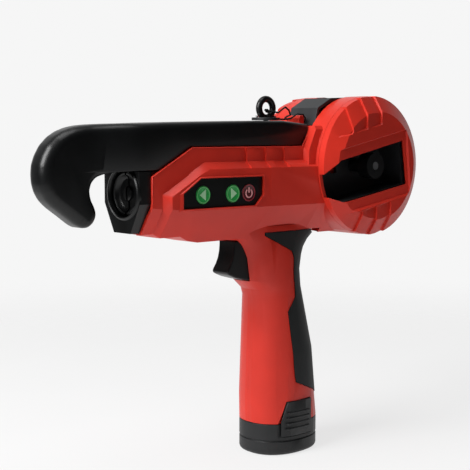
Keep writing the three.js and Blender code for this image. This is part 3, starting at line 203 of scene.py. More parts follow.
def outline_face(shape, points, y):
    """One face through (x, z) points at that y."""
    return shape.faces.new([shape.verts.new((x, y, z)) for x, z in points])


def slab(points, near, far):
    """A plate with a side outline, from one y to another."""
    shape = bmesh.new()
    face = outline_face(shape, points, near)
    grown = bmesh.ops.extrude_face_region(shape, geom=[face])["geom"]
    moved = [each for each in grown if isinstance(each, bmesh.types.BMVert)]
    bmesh.ops.translate(shape, verts=moved, vec=(0, far - near, 0))
    return outward(shape)


def block(size, place):
    """A box of that size round a place."""
    shape = bmesh.new()
    bmesh.ops.create_cube(shape, size=1)
    bmesh.ops.scale(shape, vec=size, verts=shape.verts)
    bmesh.ops.translate(shape, vec=place, verts=shape.verts)
    return shape


def turned(profile, axis, centre, steps):
    """A profile of (along, radius) rows spun round an axis through a centre."""
    shape = bmesh.new()
    middle = Vector(centre)
    line = Vector(axis)
    out = Vector((0, 0, 1)) if abs(line.z) < 0.5 else Vector((1, 0, 0))
    verts = [shape.verts.new(middle + line * along + out * radius) for along, radius in profile]
    edges = [shape.edges.new(pair) for pair in zip(verts, verts[1:])]
    bmesh.ops.spin(
        shape, geom=verts + edges, cent=middle, axis=line, angle=FULL_TURN, steps=steps, use_merge=True,
    )
    return welded(shape)


def soften(shape, edges, width, segments):
    """Rounds edges by that width."""
    bmesh.ops.bevel(
        shape, geom=list(edges), offset=width, offset_type="OFFSET", segments=segments,
        profile=0.5, affect="EDGES", material=-1, clamp_overlap=True,
    )


def edges_sharper_than(shape, degrees):
    """Edges where two faces meet at more than that angle."""
    limit = math.radians(degrees)
    return [edge for edge in shape.edges if edge.is_manifold and edge.calc_face_angle(0.0) > limit]


def edges_across(shape):
    """Edges of a slab that run straight along y."""
    runs = {edge: edge.verts[1].co - edge.verts[0].co for edge in shape.edges}
    return [edge for edge, run in runs.items() if abs(run.y) > ALONG_Y * run.length]


def cut_along(shape, place, normal):
    """Adds an edge loop where a plane crosses a shape."""
    whole = shape.verts[:] + shape.edges[:] + shape.faces[:]
    bmesh.ops.bisect_plane(shape, geom=whole, dist=CUT_REACH, plane_co=place, plane_no=normal)


def combine(shape, other, operation):
    """The union, difference or intersection of two closed shapes; both are used up."""
    base, tool = (linked("working", mesh_of(part)) for part in (shape, other))
    modifier = base.modifiers.new("combine", "BOOLEAN")
    modifier.operation = operation
    modifier.solver = "EXACT"
    modifier.object = tool
    result = modified(base)
    removed(tool)
    return result


def rounded_sides(shape, half, width, share_at):
    """Rounds a slab's two side outlines by a width times the share at each (x, z) place."""
    mesh = mesh_of(shape)
    weight = mesh.attributes.new("bevel_weight_edge", "FLOAT", "EDGE")
    for edge in mesh.edges:
        ends = [mesh.vertices[k].co for k in edge.vertices]
        if all(abs(end.y - math.copysign(half, ends[0].y)) < ON_SIDE for end in ends):
            middle = (ends[0] + ends[1]) / 2
            weight.data[edge.index].value = share_at(middle.x, middle.z)
    holder = linked("working", mesh)
    round_weighted(holder, width, SIDE_SEGMENTS, clamp=False)
    return modified(holder)


def round_curve(name, places, radius, resolution):
    """A round, capped curve through places, as an object."""
    curve = bpy.data.curves.new(name, "CURVE")
    curve.dimensions = "3D"
    curve.bevel_depth = radius
    curve.bevel_resolution = resolution
    curve.use_fill_caps = True
    line = curve.splines.new("POLY")
    line.points.add(len(places) - 1)
    for point, place in zip(line.points, places):
        point.co = (*place, 1)
    return linked(name, curve)


def bead(points, radius):
    """A round bead along a path, as a shape."""
    holder = round_curve("working", points, radius, 2)
    curve = holder.data
    bpy.context.view_layer.update()
    mesh = bpy.data.meshes.new_from_object(holder, depsgraph=bpy.context.evaluated_depsgraph_get())
    shape = bmesh.new()
    shape.from_mesh(mesh)
    bpy.data.meshes.remove(mesh)
    bpy.data.objects.remove(holder)
    bpy.data.curves.remove(curve)
    return welded(shape)


def finished(shape, name, slot, body, replaced=(), smooth=35.0, edge=0.0, edge_angle=30.0,
             segments=2, sharp=None):
    """Makes a shape in millimetres an object that rides a body, with smooth shading and rounded edges.

    sharp tells which edges stay as they are.
    """
    if edge:
        weight = shape.edges.layers.float.new("bevel_weight_edge")
        for each in edges_sharper_than(shape, edge_angle):
            each[weight] = 0.0 if sharp and sharp(each) else 1.0
    bmesh.ops.scale(shape, vec=(MILLIMETRE,) * 3, verts=shape.verts)
    mesh = mesh_of(shape, name)
    piece = linked(name, mesh)
    for face in mesh.polygons:
        face.use_smooth = True
    mesh.set_sharp_from_angle(angle=math.radians(smooth))
    if edge:
        round_weighted(piece, edge, segments, clamp=True).harden_normals = True
    mesh.materials.append(finish(slot))
    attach(piece, body)
    if replaced:
        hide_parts(*replaced)
    return piece


def refined(node, edge, angle=28.0, change=None, sharp=None):
    """A merged copy of a frame node with rounded edges, in the node's place."""
    source = frame["nodes"][node]
    shape = bmesh.new()
    shape.from_mesh(source.data)
    bmesh.ops.transform(shape, matrix=source.matrix_world, verts=shape.verts)
    bmesh.ops.scale(shape, vec=(1 / MILLIMETRE,) * 3, verts=shape.verts)
    bmesh.ops.remove_doubles(shape, verts=shape.verts, dist=SAME_NODE_POINT)
    bmesh.ops.dissolve_limit(shape, angle_limit=math.radians(FLAT), verts=shape.verts, edges=shape.edges)
    if change:
        shape = change(shape)
    return finished(
        shape, node + "_moulded", slot_of(node), body_of(node), [node],
        smooth=angle, edge=edge, edge_angle=angle, sharp=sharp,
    )


def add_node(tree, kind, settings=None, values=None, links=None):
    """Adds a shader node with its settings, its sockets' values and its links."""
    made = tree.nodes.new(kind)
    for name, value in (settings or {}).items():
        setattr(made, name, value)
    for name, value in (values or {}).items():
        made.inputs[name].default_value = value
    for name, socket in (links or {}).items():
        tree.links.new(socket, made.inputs[name])
    return made


# Where the blotches of the first colour end and those of the second start
TONE_STOPS = (0.35, 0.65)
BLOTCH_DETAIL = 3.0
GRAIN_DETAIL = 2.0
GRAIN_STRENGTH = 0.5


def surface(name, tones, tone_size, roughness, grain_size, grain_depth, metallic=0.0, **values):
    """A material: blotches between two colours, uneven gloss and a fine grain, by real sizes in metres."""
    material = bpy.data.materials.new(name)
    material.use_nodes = True
    tree = material.node_tree
    shader = tree.nodes["Principled BSDF"]
    first, second = (linear(tone) if isinstance(tone, str) else tuple(tone) for tone in tones)
    material.diffuse_color = first
    shader.inputs["Metallic"].default_value = metallic
    for socket, value in values.items():
        shader.inputs[socket.replace("_", " ")].default_value = value
    where = add_node(tree, "ShaderNodeTexCoord").outputs["Object"]
    blotches = add_node(
        tree, "ShaderNodeTexNoise", values={"Scale": 1 / tone_size, "Detail": BLOTCH_DETAIL},
        links={"Vector": where},
    ).outputs["Fac"]
    colour = add_node(tree, "ShaderNodeValToRGB", links={"Fac": blotches})
    for stop, place, tone in zip(colour.color_ramp.elements, TONE_STOPS, (first, second)):
        stop.position = place
        stop.color = tone
    gloss = add_node(
        tree, "ShaderNodeMapRange", values={"To Min": roughness[0], "To Max": roughness[1]},
        links={"Value": blotches},
    )
    grain = add_node(
        tree, "ShaderNodeTexNoise", values={"Scale": 1 / grain_size, "Detail": GRAIN_DETAIL},
        links={"Vector": where},
    ).outputs["Fac"]
    relief = add_node(
        tree, "ShaderNodeBump", values={"Distance": grain_depth, "Strength": GRAIN_STRENGTH},
        links={"Height": grain},
    )
    tree.links.new(colour.outputs["Color"], shader.inputs["Base Color"])
    tree.links.new(gloss.outputs["Result"], shader.inputs["Roughness"])
    tree.links.new(relief.outputs["Normal"], shader.inputs["Normal"])
    return material


def shade(colour, share):
    """A linear colour, darker or lighter by a share."""
    return (*(channel * share for channel in colour[:3]), colour[3])


# Finishes


def red_abs():
    """Moulded ABS, dyed red: satin gloss, a fine spark-eroded grain and slightly uneven dye."""
    # The real grain is about 0.1 mm; 0.5 mm is as fine as the picture shows
    red = colours().housing
    return surface(
        "red_moulded_abs", (shade(red, 0.94), shade(red, 1.05)), tone_size=0.03, roughness=(0.36, 0.44),
        grain_size=0.0005, grain_depth=0.00001, IOR=1.53, Specular_IOR_Level=0.3,
    )


def gloss_black():
    """Moulded glass-filled nylon, black and satin: broad soft highlights and a faint grain."""
    black = colours().arm
    return surface(
        "black_moulded_nylon", (black, shade(black, 1.2)), tone_size=0.012, roughness=(0.3, 0.38),
        grain_size=0.0006, grain_depth=0.00001, IOR=1.5, Specular_IOR_Level=0.36,
    )


def matte_black():
    """Moulded polypropylene, dark grey and matt, with a fine eroded texture."""
    return surface(
        "dark_moulded_polypropylene", ("#191b1d", "#212326"), tone_size=0.01, roughness=(0.48, 0.58),
        grain_size=0.0006, grain_depth=0.00003, IOR=1.49,
    )


def grip_rubber():
    """Overmoulded thermoplastic rubber: nearly black, soft sheen, fine leathery grain."""
    rubber = colours().rubber
    return surface(
        "overmoulded_rubber", (shade(rubber, 0.9), shade(rubber, 1.25)), tone_size=0.008,
        roughness=(0.55, 0.66), grain_size=0.0009, grain_depth=0.00005, IOR=1.52, Specular_IOR_Level=0.3,
    )


def battery_plastic():
    """Moulded ABS and polycarbonate, dark grey, textured matt."""
    dark = colours().battery
    return surface(
        "battery_abs", (shade(dark, 0.9), shade(dark, 1.15)), tone_size=0.01, roughness=(0.44, 0.54),
        grain_size=0.0006, grain_depth=0.00003, IOR=1.53, Specular_IOR_Level=0.35,
    )


def zinc_steel():
    """Zinc-plated machined steel: bright grey with fine turned scratches."""
    return surface(
        "zinc_plated_steel", ("#b3b5b7", "#bfc1c3"), tone_size=0.0008, roughness=(0.24, 0.4),
        grain_size=0.0008, grain_depth=0.00001, metallic=1.0,
    )


def plain_brass():
    """Machined brass: warm yellow metal, lightly dulled."""
    return surface(
        "machined_brass", ("#b08c49", "#bd9855"), tone_size=0.002, roughness=(0.28, 0.45),
        grain_size=0.002, grain_depth=0.00001, metallic=1.0,
    )


def circuit_board():
    """Glass-epoxy board under green solder mask, with the weave just showing through."""
    return surface(
        "green_solder_mask", ("#174f2d", "#20673c"), tone_size=0.001, roughness=(0.3, 0.4),
        grain_size=0.001, grain_depth=0.00002, IOR=1.55,
    )


def cell_wrap():
    """PVC shrink wrap on a round cell: smooth blue with slight waves."""
    return surface(
        "blue_shrink_wrap", ("#2a5c99", "#3671b5"), tone_size=0.004, roughness=(0.26, 0.34),
        grain_size=0.004, grain_depth=0.0001, IOR=1.53,
    )


WIRE_TURN = 0.0011
# A wave texture at scale 1 repeats once in about this many metres
WAVE_LENGTH = 0.314


def coated_wire():
    """Paper-coated tying wire in even turns side by side: dull olive, a ridge for each 1.1 mm turn."""
    material = surface(
        "coated_tying_wire", ("#5d6845", "#77845a"), tone_size=0.003, roughness=(0.55, 0.65),
        grain_size=0.001, grain_depth=0.0004, IOR=1.45,
    )
    tree = material.node_tree
    turns = add_node(
        tree, "ShaderNodeTexWave", settings={"bands_direction": "Y"},
        values={"Scale": WAVE_LENGTH / WIRE_TURN, "Distortion": 0.3},
        links={"Vector": tree.nodes["Texture Coordinate"].outputs["Object"]},
    )
    tree.links.new(turns.outputs["Fac"], tree.nodes["Bump"].inputs["Height"])
    return material


def membrane(name, tones):
    """Printed polyester button face: even colour with a soft gloss."""
    return surface(
        name, tones, tone_size=0.002, roughness=(0.34, 0.42), grain_size=0.001, grain_depth=0.00001, IOR=1.55,
    )


def green_membrane():
    """Button face in leaf green."""
    return membrane("green_membrane", ("#178a38", "#22a34a"))


def red_membrane():
    """Button face in dark crimson."""
    return membrane("crimson_membrane", ("#3f0710", "#560b16"))


FINISHES = {
    "red_abs": red_abs,
    "gloss_black": gloss_black,
    "matte_black": matte_black,
    "grip_rubber": grip_rubber,
    "battery_black": battery_plastic,
    "green_button": green_membrane,
    "red_button": red_membrane,
    "circuit_board": circuit_board,
    "cell_wrap": cell_wrap,
    "steel": zinc_steel,
    "brass": plain_brass,
    "coated_wire": coated_wire,
}
made_finishes = {}
inks = {}


def finish(slot):
    """The material of a slot, made once."""
    if slot not in made_finishes:
        made_finishes[slot] = FINISHES[slot]()
    return made_finishes[slot]


def slot_of(node):
    """The record's material slot for a node of the frame."""
    return next(row["material_slot"] for row in frame["record"]["subparts"] if row["node"] == node)


def body_of(node):
    """The body that a node of the frame belongs to."""
    bodies = frame["record"]["behaviour"]["bodies"]
    return next(body for body, members in bodies.items() if node in members)


def printed_ink(name, colour):
    """Screen-printed ink on a button: flat colour, soft gloss, slightly uneven laydown."""
    if name not in inks:
        inks[name] = surface(
            name, (colour, colour), tone_size=0.0015, roughness=(0.34, 0.48), grain_size=0.0015,
            grain_depth=0.00001, IOR=1.5,
        )
    return inks[name]


# Stage

CAMERA_PLACE = (0.5117, 0.5316, 0.2191)
CAMERA_AZIMUTH = 138.4
CAMERA_PITCH = 5.55
CAMERA_FOCAL_SHARE = 1080 / 470
SENSOR = 36.0

# Each softbox: azimuth, elevation, distance, size and power
SOFTBOXES = {"key_softbox": (88, 34, 1.2, (0.6, 0.8), 21), "top_softbox": (120, 82, 1.1, (0.8, 0.5), 5)}
SOFTBOX_AIM = Vector((0.03, 0.0, 0.15))

FLOOR_RADIUS = 3.0
FLOOR_STEPS = 96
FLOOR_LEVEL = -0.0002
# Distances between which the floor fades out, and how much of its tone is seen unlit
FLOOR_FADE = (0.35, 0.9)
FLOOR_GLOW = 0.8
SURROUND = "#f6f6f6"

WORLD_LIGHT = 0.12
ROOM_GLOSS = 0.03
# Towards the room on the camera's side, level, and how far round from there the pale sweep reaches
ROOM_SIDE = (0.66, 0.75, 0.0)
SWEEP = (-0.95, -0.25)


def backwards(azimuth, elevation):
    """The direction from the object to a camera at that azimuth and elevation, in degrees."""
    turn, rise = math.radians(azimuth), math.radians(elevation)
    return Vector((math.sin(turn) * math.cos(rise), -math.cos(turn) * math.cos(rise), math.sin(rise)))


def add_camera():
    """The camera at the photograph's place and angle."""
    camera = linked("camera", bpy.data.cameras.new("camera"))
    camera.data.sensor_width = SENSOR
    camera.data.lens = SENSOR * CAMERA_FOCAL_SHARE
    camera.location = CAMERA_PLACE
    back = backwards(CAMERA_AZIMUTH, CAMERA_PITCH)
    camera.rotation_euler = back.to_track_quat("Z", "Y").to_euler()
    bpy.context.scene.camera = camera


def add_softbox(name, azimuth, elevation, distance, size, power):
    """A rectangular area lamp that faces the object."""
    lamp = bpy.data.lights.new(name, "AREA")
    lamp.shape = "RECTANGLE"
    lamp.size, lamp.size_y = size
    lamp.energy = power
    holder = linked(name, lamp)
    back = backwards(azimuth, elevation)
    holder.location = SOFTBOX_AIM + back * distance
    holder.rotation_euler = back.to_track_quat("Z", "Y").to_euler()


def seen_by(tree, *rays):
    """A socket that is 1 for rays of these kinds."""
    path = add_node(tree, "ShaderNodeLightPath")
    seen = path.outputs[rays[0]]
    for ray in rays[1:]:
        links = {0: seen, 1: path.outputs[ray]}
        seen = add_node(tree, "ShaderNodeMath", settings={"operation": "MAXIMUM"}, links=links).outputs[0]
    return seen


def add_floor():
    """A matt white board that takes the shadow and fades into the surround."""
    shape = bmesh.new()
    bmesh.ops.create_circle(shape, cap_ends=True, segments=FLOOR_STEPS, radius=FLOOR_RADIUS)
    floor = linked("floor", mesh_of(shape, "floor"))
    floor.location.z = FLOOR_LEVEL
    material = surface(
        "matt_white_board", ("#efefef", "#f4f4f4"), tone_size=0.2, roughness=(0.85, 0.95),
        grain_size=0.002, grain_depth=0.00002,
    )
    tree = material.node_tree
    seen = seen_by(tree, "Is Camera Ray", "Is Glossy Ray", "Is Transmission Ray")
    unlit = add_node(
        tree, "ShaderNodeMath", settings={"operation": "MULTIPLY"}, values={1: FLOOR_GLOW}, links={0: seen},
    )
    glow = add_node(tree, "ShaderNodeEmission", values={"Color": linear(SURROUND), "Strength": 1.0})
    lit = add_node(tree, "ShaderNodeMixShader", links={
        "Fac": unlit.outputs[0], 1: tree.nodes["Principled BSDF"].outputs["BSDF"],
        2: glow.outputs["Emission"],
    })
    away = add_node(
        tree, "ShaderNodeVectorMath", settings={"operation": "LENGTH"},
        links={"Vector": tree.nodes["Texture Coordinate"].outputs["Object"]},
    )
    fade = add_node(
        tree, "ShaderNodeMapRange", settings={"interpolation_type": "SMOOTHSTEP"},
        values={"From Min": FLOOR_FADE[0], "From Max": FLOOR_FADE[1]}, links={"Value": away.outputs["Value"]},
    )
    clear = add_node(tree, "ShaderNodeBsdfTransparent")
    faded = add_node(tree, "ShaderNodeMixShader", links={
        "Fac": fade.outputs["Result"], 1: lit.outputs["Shader"], 2: clear.outputs["BSDF"],
    })
    tree.links.new(faded.outputs["Shader"], tree.nodes["Material Output"].inputs["Surface"])
    floor.data.materials.append(material)


def add_world():
    """A pale sweep behind the object and a dim room in front: white where it is seen directly."""
    world = bpy.data.worlds.new("studio")
    world.use_nodes = True
    tree = world.node_tree
    background = tree.nodes["Background"]
    sight = add_node(tree, "ShaderNodeTexCoord").outputs["Generated"]
    facing = add_node(
        tree, "ShaderNodeVectorMath", settings={"operation": "DOT_PRODUCT"}, values={1: ROOM_SIDE},
        links={0: sight},
    )
    sweep = add_node(
        tree, "ShaderNodeMapRange", settings={"interpolation_type": "SMOOTHSTEP"},
        values={"From Min": SWEEP[0], "From Max": SWEEP[1], "To Min": 1.0, "To Max": ROOM_GLOSS},
        links={"Value": facing.outputs["Value"]},
    )
    glossy = add_node(tree, "ShaderNodeMix", values={"A": WORLD_LIGHT}, links={
        "Factor": seen_by(tree, "Is Glossy Ray"), "B": sweep.outputs["Result"],
    })
    strength = add_node(tree, "ShaderNodeMix", values={"B": 1.0}, links={
        "Factor": seen_by(tree, "Is Camera Ray", "Is Transmission Ray"), "A": glossy.outputs["Result"],
    })
    background.inputs["Color"].default_value = linear(SURROUND)
    tree.links.new(strength.outputs["Result"], background.inputs["Strength"])
    bpy.context.scene.world = world


class VINETOOL_OT_stage(bpy.types.Operator):
    """Adds the floor, the surround, the lamps and the camera"""

    bl_idname = "vinetool.stage"
    bl_label = "Studio Stage"

    def execute(self, context):
        add_camera()
        add_floor()
        add_world()
        for name, setting in SOFTBOXES.items():
            add_softbox(name, *setting)
        context.scene.view_settings.view_transform = "Standard"
        return {"FINISHED"}


# Pieces

# The rear drum that both covers close: half widths along y, radii from its centre line, and the wall
DRUM_CENTRE = (-58.0, 0.0, 194.5)
RIM_HALF = 33.0
FACE_HALF = 40.0
FACE_RADIUS = 37.0
DRUM_RADIUS = 48.0
COVER_INNER = 27.8
COVER_WALL = 2.6

# Half widths of the guide arm and its hook, and where along x the arm narrows from one to the other
ARM_HALF = 18.0
HOOK_HALF = 9.3
NECK = (126.0, 160.0)
NECK_STEPS = 12
ARM_OUTLINE = [
    (-3.8, 208.6), (-9.8, 217.4), (-11.2, 220.6), (-10.6, 223.2), (12.0, 225.4), (40.0, 225.1),
    (70.0, 224.6), (109.0, 223.8), (126.0, 223.2), (140.0, 222.9), (155.5, 222.4), (163.0, 221.8),
    (168.5, 220.8), (174.8, 218.6), (180.3, 215.4), (185.2, 210.7), (188.7, 204.9), (190.7, 199.5),
    (191.2, 194.1), (190.9, 188.8), (189.4, 183.6), (186.6, 178.8), (182.4, 174.8), (177.6, 171.4),
    (172.3, 167.6), (168.0, 164.5), (163.9, 162.2), (159.8, 162.2), (156.6, 164.6), (154.9, 168.0),
    (154.6, 171.0), (155.6, 174.4), (157.8, 178.8), (158.7, 183.7), (157.4, 188.3), (154.2, 191.6),
    (150.0, 193.2), (144.0, 194.4), (131.3, 194.8), (116.3, 194.8), (92.0, 208.6),
]
# Shares of the hook's rounding: along the straight top until the taper, at the housing's border, at the tip
STRAIGHT_SHARE = 0.4
ARM_TAPER = 60.0
BORDER_SHARE = 0.12
TIP_SHARE = 0.66
# Places that tell the hook's edges apart: the top's height, the hook's outer side, and the tip's box
TOP_EDGE = 219
OUTER_SIDE = 170
TIP_FROM = 160
TIP_TOP = 171
THROAT_FROM = 144.0
# Corners of the outline in front of this x are rounded
BENDS_FROM = 145
BEND_ROUNDING = 1.3
OUTLET_RADIUS = 2.4
OUTLET_PLACE = (157, 0, 173)
OUTLET_REACH = (-2, 12)


def between(low, high, value):
    """How far a value is on the way from one to another, from 0 to 1."""
    return min(1.0, max(0.0, (value - low) / (high - low)))


def arm_half(x):
    """Half the arm's width at that x: broad over the housing, narrow at the hook."""
    reach = between(*NECK, x)
    return ARM_HALF + (HOOK_HALF - ARM_HALF) * reach * reach * (3 - 2 * reach)


def arm_rounding(x, z):
    """How much of the full rounding the arm's side edge has at a place."""
    if z > TOP_EDGE or x > OUTER_SIDE:
        return STRAIGHT_SHARE + (1 - STRAIGHT_SHARE) * between(ARM_TAPER, NECK[0], x)
    if x > TIP_FROM and z < TIP_TOP:
        return TIP_SHARE + (1 - TIP_SHARE) * between(TIP_FROM, OUTER_SIDE, x)
    if x > THROAT_FROM:
        return TIP_SHARE
    return BORDER_SHARE


class VINETOOL_OT_guide_arm(bpy.types.Operator):
    """Models the guide arm with its hook and the wire's outlet in the hook's tip"""

    bl_idname = "vinetool.guide_arm"
    bl_label = "Guide Arm"

    def execute(self, context):
        shape = slab(ARM_OUTLINE, -ARM_HALF, ARM_HALF)
        bends = [edge for edge in edges_across(shape) if edge.verts[0].co.x > BENDS_FROM]
        soften(shape, bends, BEND_ROUNDING, 2)
        shape = rounded_sides(shape, ARM_HALF, sizes().hook_rounding / MILLIMETRE, arm_rounding)
        for step in range(NECK_STEPS):
            cut_along(shape, (NECK[0] + (NECK[1] - NECK[0]) * step / NECK_STEPS, 0, 0), (1, 0, 0))
        for vert in shape.verts:
            vert.co.y -= math.copysign(ARM_HALF - arm_half(vert.co.x), vert.co.y)
        rows = cylinder_rows(*OUTLET_REACH, OUTLET_RADIUS)
        outlet = turned(rows, (-1, 0, 0), OUTLET_PLACE, steps=16)
        shape = combine(shape, outlet, "DIFFERENCE")
        finished(shape, "guide_arm_moulded", "gloss_black", "tool", ["guide_arm"], smooth=40)
        return {"FINISHED"}


COVER_ROWS = [
    (FACE_HALF, 0), (FACE_HALF, 12), (FACE_HALF, 24), (FACE_HALF, 31), (FACE_HALF, FACE_RADIUS),
    (36.5, 42.5), (RIM_HALF, DRUM_RADIUS), (COVER_INNER, DRUM_RADIUS),
]
WINDOW = [(-20.4, 198.7), (-84.6, 211.9), (-89.3, 181.0), (-25.6, 170.3), (-11.1, 175.1), (-8.0, 187.5)]
RECESS = [(-8.0, 202.9), (-86.6, 219.0), (-91.8, 174.8), (-8.0, 160.8)]
RECESS_DEPTH = 1.5
# Gills: x of each step's wall, then the line that ends them, as height at x = 0 and slope
UPPER_GILLS = (-31.3, -45.8, -60.5)
LOWER_GILLS = (-41.4, -55.9, -70.8)
UPPER_LINE = (209.8, -0.212)
LOWER_LINE = (156.9, -0.185)
GILL_PITCH = 14.3
GILL_WALL = 0.3
# A gill fades in over this height past its line, and points this far short of it belong to it already
GILL_FADE = 0.9
FADE_SLACK = 0.05
# Points this deep in the outer skin move with it; slack at the rim and at the barrel's inner end
SKIN_DEPTH = 0.3
RIM_SLACK = 0.5
INNER_SLACK = 0.1
# Share of a step that leans outwards on the cover's sloping skin
GILL_LEAN = 0.54
# Slack for points that lie on a limit
TOUCH = 0.01
COVER_STEPS = 72
# Share of the housing's edge rounding that the covers have
COVER_EDGE_SHARE = 0.6
COVER_SMOOTH = 24
# The recess's cutter reaches this far out, and is wider there by these shares, along x and z
RECESS_OUT = 5
RECESS_GROWTH = (1.1, 1.2)
WINDOW_CUT = (COVER_INNER + 1, FACE_HALF + 4)
# Black lining behind each window: from the chamber's wall to the cover, a little wider than the window
LINER = (15.6, 34.5)
LINER_GROWTH = 1.05
LINER_RADIUS = 41.0
OVERCUT = 2


def sink_gills(shape, gills, line, up):
    """Steps the cover's outer skin down at each gill, flush again a pitch further forward."""
    height, slope = line
    depth = sizes().gill_depth / MILLIMETRE
    last = GILL_PITCH - GILL_WALL
    for start in gills:
        for along in (0, GILL_WALL, last):
            cut_along(shape, (start + along, 0, 0), (1, 0, 0))
    for lift in (0.0, GILL_FADE):
        cut_along(shape, (0, 0, height + up * lift), (-slope, 0, 1))
    for vert in shape.verts:
        out = Vector((vert.co.x - DRUM_CENTRE[0], 0, vert.co.z - DRUM_CENTRE[2]))
        fall = max(0.0, out.length - FACE_RADIUS) * (FACE_HALF - RIM_HALF) / (DRUM_RADIUS - FACE_RADIUS)
        barrel = out.length > DRUM_RADIUS - RIM_SLACK and vert.co.y > COVER_INNER + INNER_SLACK
        skin = barrel or vert.co.y > FACE_HALF - fall - SKIN_DEPTH
        if not skin or up * (vert.co.z - height - slope * vert.co.x) < GILL_FADE - FADE_SLACK:
            continue
        for start in gills:
            along = vert.co.x - start
            if GILL_WALL - TOUCH <= along < last - TOUCH:
                sink = depth * (1 - along / GILL_PITCH)
                lean = GILL_LEAN if out.length > FACE_RADIUS - RIM_SLACK else 0.0
                vert.co -= out.normalized() * lean * sink + Vector((0, math.sqrt(1 - lean * lean) * sink, 0))


def cover_shape():
    """The left reel cover: turned dish, stepped gills, recessed frame and window."""
    shape = turned(COVER_ROWS, (0, 1, 0), DRUM_CENTRE, COVER_STEPS)
    bmesh.ops.solidify(shape, geom=shape.faces[:], thickness=COVER_WALL)
    sink_gills(outward(shape), UPPER_GILLS, UPPER_LINE, 1)
    sink_gills(shape, LOWER_GILLS, LOWER_LINE, -1)
    recess = slab(RECESS, FACE_HALF - RECESS_DEPTH, FACE_HALF + RECESS_OUT)
    for vert in recess.verts:
        if vert.co.y > FACE_HALF:
            vert.co.x = DRUM_CENTRE[0] + (vert.co.x - DRUM_CENTRE[0]) * RECESS_GROWTH[0]
            vert.co.z = DRUM_CENTRE[2] + (vert.co.z - DRUM_CENTRE[2]) * RECESS_GROWTH[1]
    shape = combine(shape, recess, "DIFFERENCE")
    return combine(shape, slab(WINDOW, *WINDOW_CUT), "DIFFERENCE")


class VINETOOL_OT_reel_covers(bpy.types.Operator):
    """Models the two dished reel covers with their gills, frames and windows"""

    bl_idname = "vinetool.reel_covers"
    bl_label = "Reel Covers"

    def execute(self, context):
        edge = sizes().edge_rounding * COVER_EDGE_SHARE
        left = cover_shape()
        right = left.copy()
        bmesh.ops.scale(right, vec=(1, -1, 1), verts=right.verts)
        bmesh.ops.reverse_faces(right, faces=right.faces)
        for shape, side, sign in ((left, "left", 1), (right, "right", -1)):
            finished(
                shape, f"{side}_reel_cover_moulded", "red_abs", "tool", [f"{side}_reel_cover"],
                smooth=COVER_SMOOTH, edge=edge, edge_angle=COVER_SMOOTH,
            )
            finished(self.liner(sign), f"{side}_window_liner", "matte_black", "tool", smooth=30)
        return {"FINISHED"}

    def liner(self, sign):
        """The black lining between the window and the reel chamber's wall."""
        middle = [sum(place[k] for place in WINDOW) / len(WINDOW) for k in (0, 1)]
        grown = [
            tuple(middle[k] + (place[k] - middle[k]) * LINER_GROWTH for k in (0, 1)) for place in WINDOW
        ]
        near, far = LINER
        inside = slab(WINDOW, sign * (near - OVERCUT), sign * (far + OVERCUT))
        lining = combine(slab(grown, sign * near, sign * far), inside, "DIFFERENCE")
        rows = cylinder_rows(0, sign * FACE_HALF, LINER_RADIUS)
        return combine(lining, turned(rows, (0, 1, 0), DRUM_CENTRE, COVER_STEPS), "INTERSECT")


# Points this near to the middle are on the seam between the shells, and half its gap when it is closed
SEAM_REACH = 0.4
SEAM_HALF = 0.02
# Paths of the beads along the cheek's border and round the arm's rear end, on the left side
BORDER_PATH = [
    (-3.6, 19.3, 208.2), (91.4, 19.3, 208.2), (122.4, 19.3, 191.1), (122.4, 19.3, 175.0),
    (122.8, 18.3, 172.0),
]
ARM_END_PATH = [(-3.7, 18.9, 208.4), (-11.6, 18.9, 219.4), (-12.2, 18.9, 221.2), (-11.9, 18.9, 222.0)]


class VINETOOL_OT_housing(bpy.types.Operator):
    """Rounds the moulded edges of the two housing shells and adds the beads along their border"""

    bl_idname = "vinetool.housing"
    bl_label = "Housing"

    def execute(self, context):
        edge = sizes().edge_rounding
        for side in ("left", "right"):
            refined(f"{side}_body_shell", edge, change=self.closed_seam, sharp=self.on_seam)
        radius = sizes().lip_radius / MILLIMETRE
        for side, sign in (("left", 1), ("right", -1)):
            for name, path in (("border", BORDER_PATH), ("arm_end", ARM_END_PATH)):
                places = [(x, sign * y, z) for x, y, z in path]
                finished(bead(places, radius), f"{side}_{name}_bead", "red_abs", "tool", smooth=60)
        return {"FINISHED"}

    def closed_seam(self, shape):
        """Brings the seam's faces to a hair's breadth of the middle, as the shells sit when screwed up."""
        for vert in shape.verts:
            if abs(vert.co.y) < SEAM_REACH:
                vert.co.y = math.copysign(SEAM_HALF, vert.co.y)
        return shape

    def on_seam(self, edge):
        """Whether an edge runs along the seam."""
        return all(abs(vert.co.y) < SEAM_REACH for vert in edge.verts)


# Outlines of the panel's plate, and of its raised rim at the foot and at the crest
PANEL = [(37.0, 177.6), (43.4, 171.2), (103.2, 171.2), (103.2, 180.6), (89.2, 189.6), (37.0, 189.6)]
PANEL_RIM = [(35.9, 177.1), (42.9, 170.0), (106.4, 170.0), (106.4, 180.0), (89.8, 190.8), (35.9, 190.8)]
PANEL_LIP = [(36.5, 177.4), (43.2, 170.7), (103.9, 170.7), (103.9, 181.0), (89.4, 190.2), (36.5, 190.2)]
PANEL_BACK = 21.5
PANEL_FACE = 23.1
CHEEK = 24.5
RIM_FOOT = CHEEK - 0.3
RIM_CREST = CHEEK + 0.7
RIM_CUT = 3
BUTTON_HEIGHT = 179.4
BUTTON_PLAY = 0.15
WELL_HALF = 4
BUTTON_STEPS = 48
BUTTON_SMOOTH = 40
LIGHT_GREEN = ("light_green_ink", "#5fb56a")
CRIMSON = ("crimson_ink", "#b02a3a")
MINT = ("mint_ink", "#a9d8ac")
PALE_PINK = ("pale_pink_ink", "#e8a3a4")
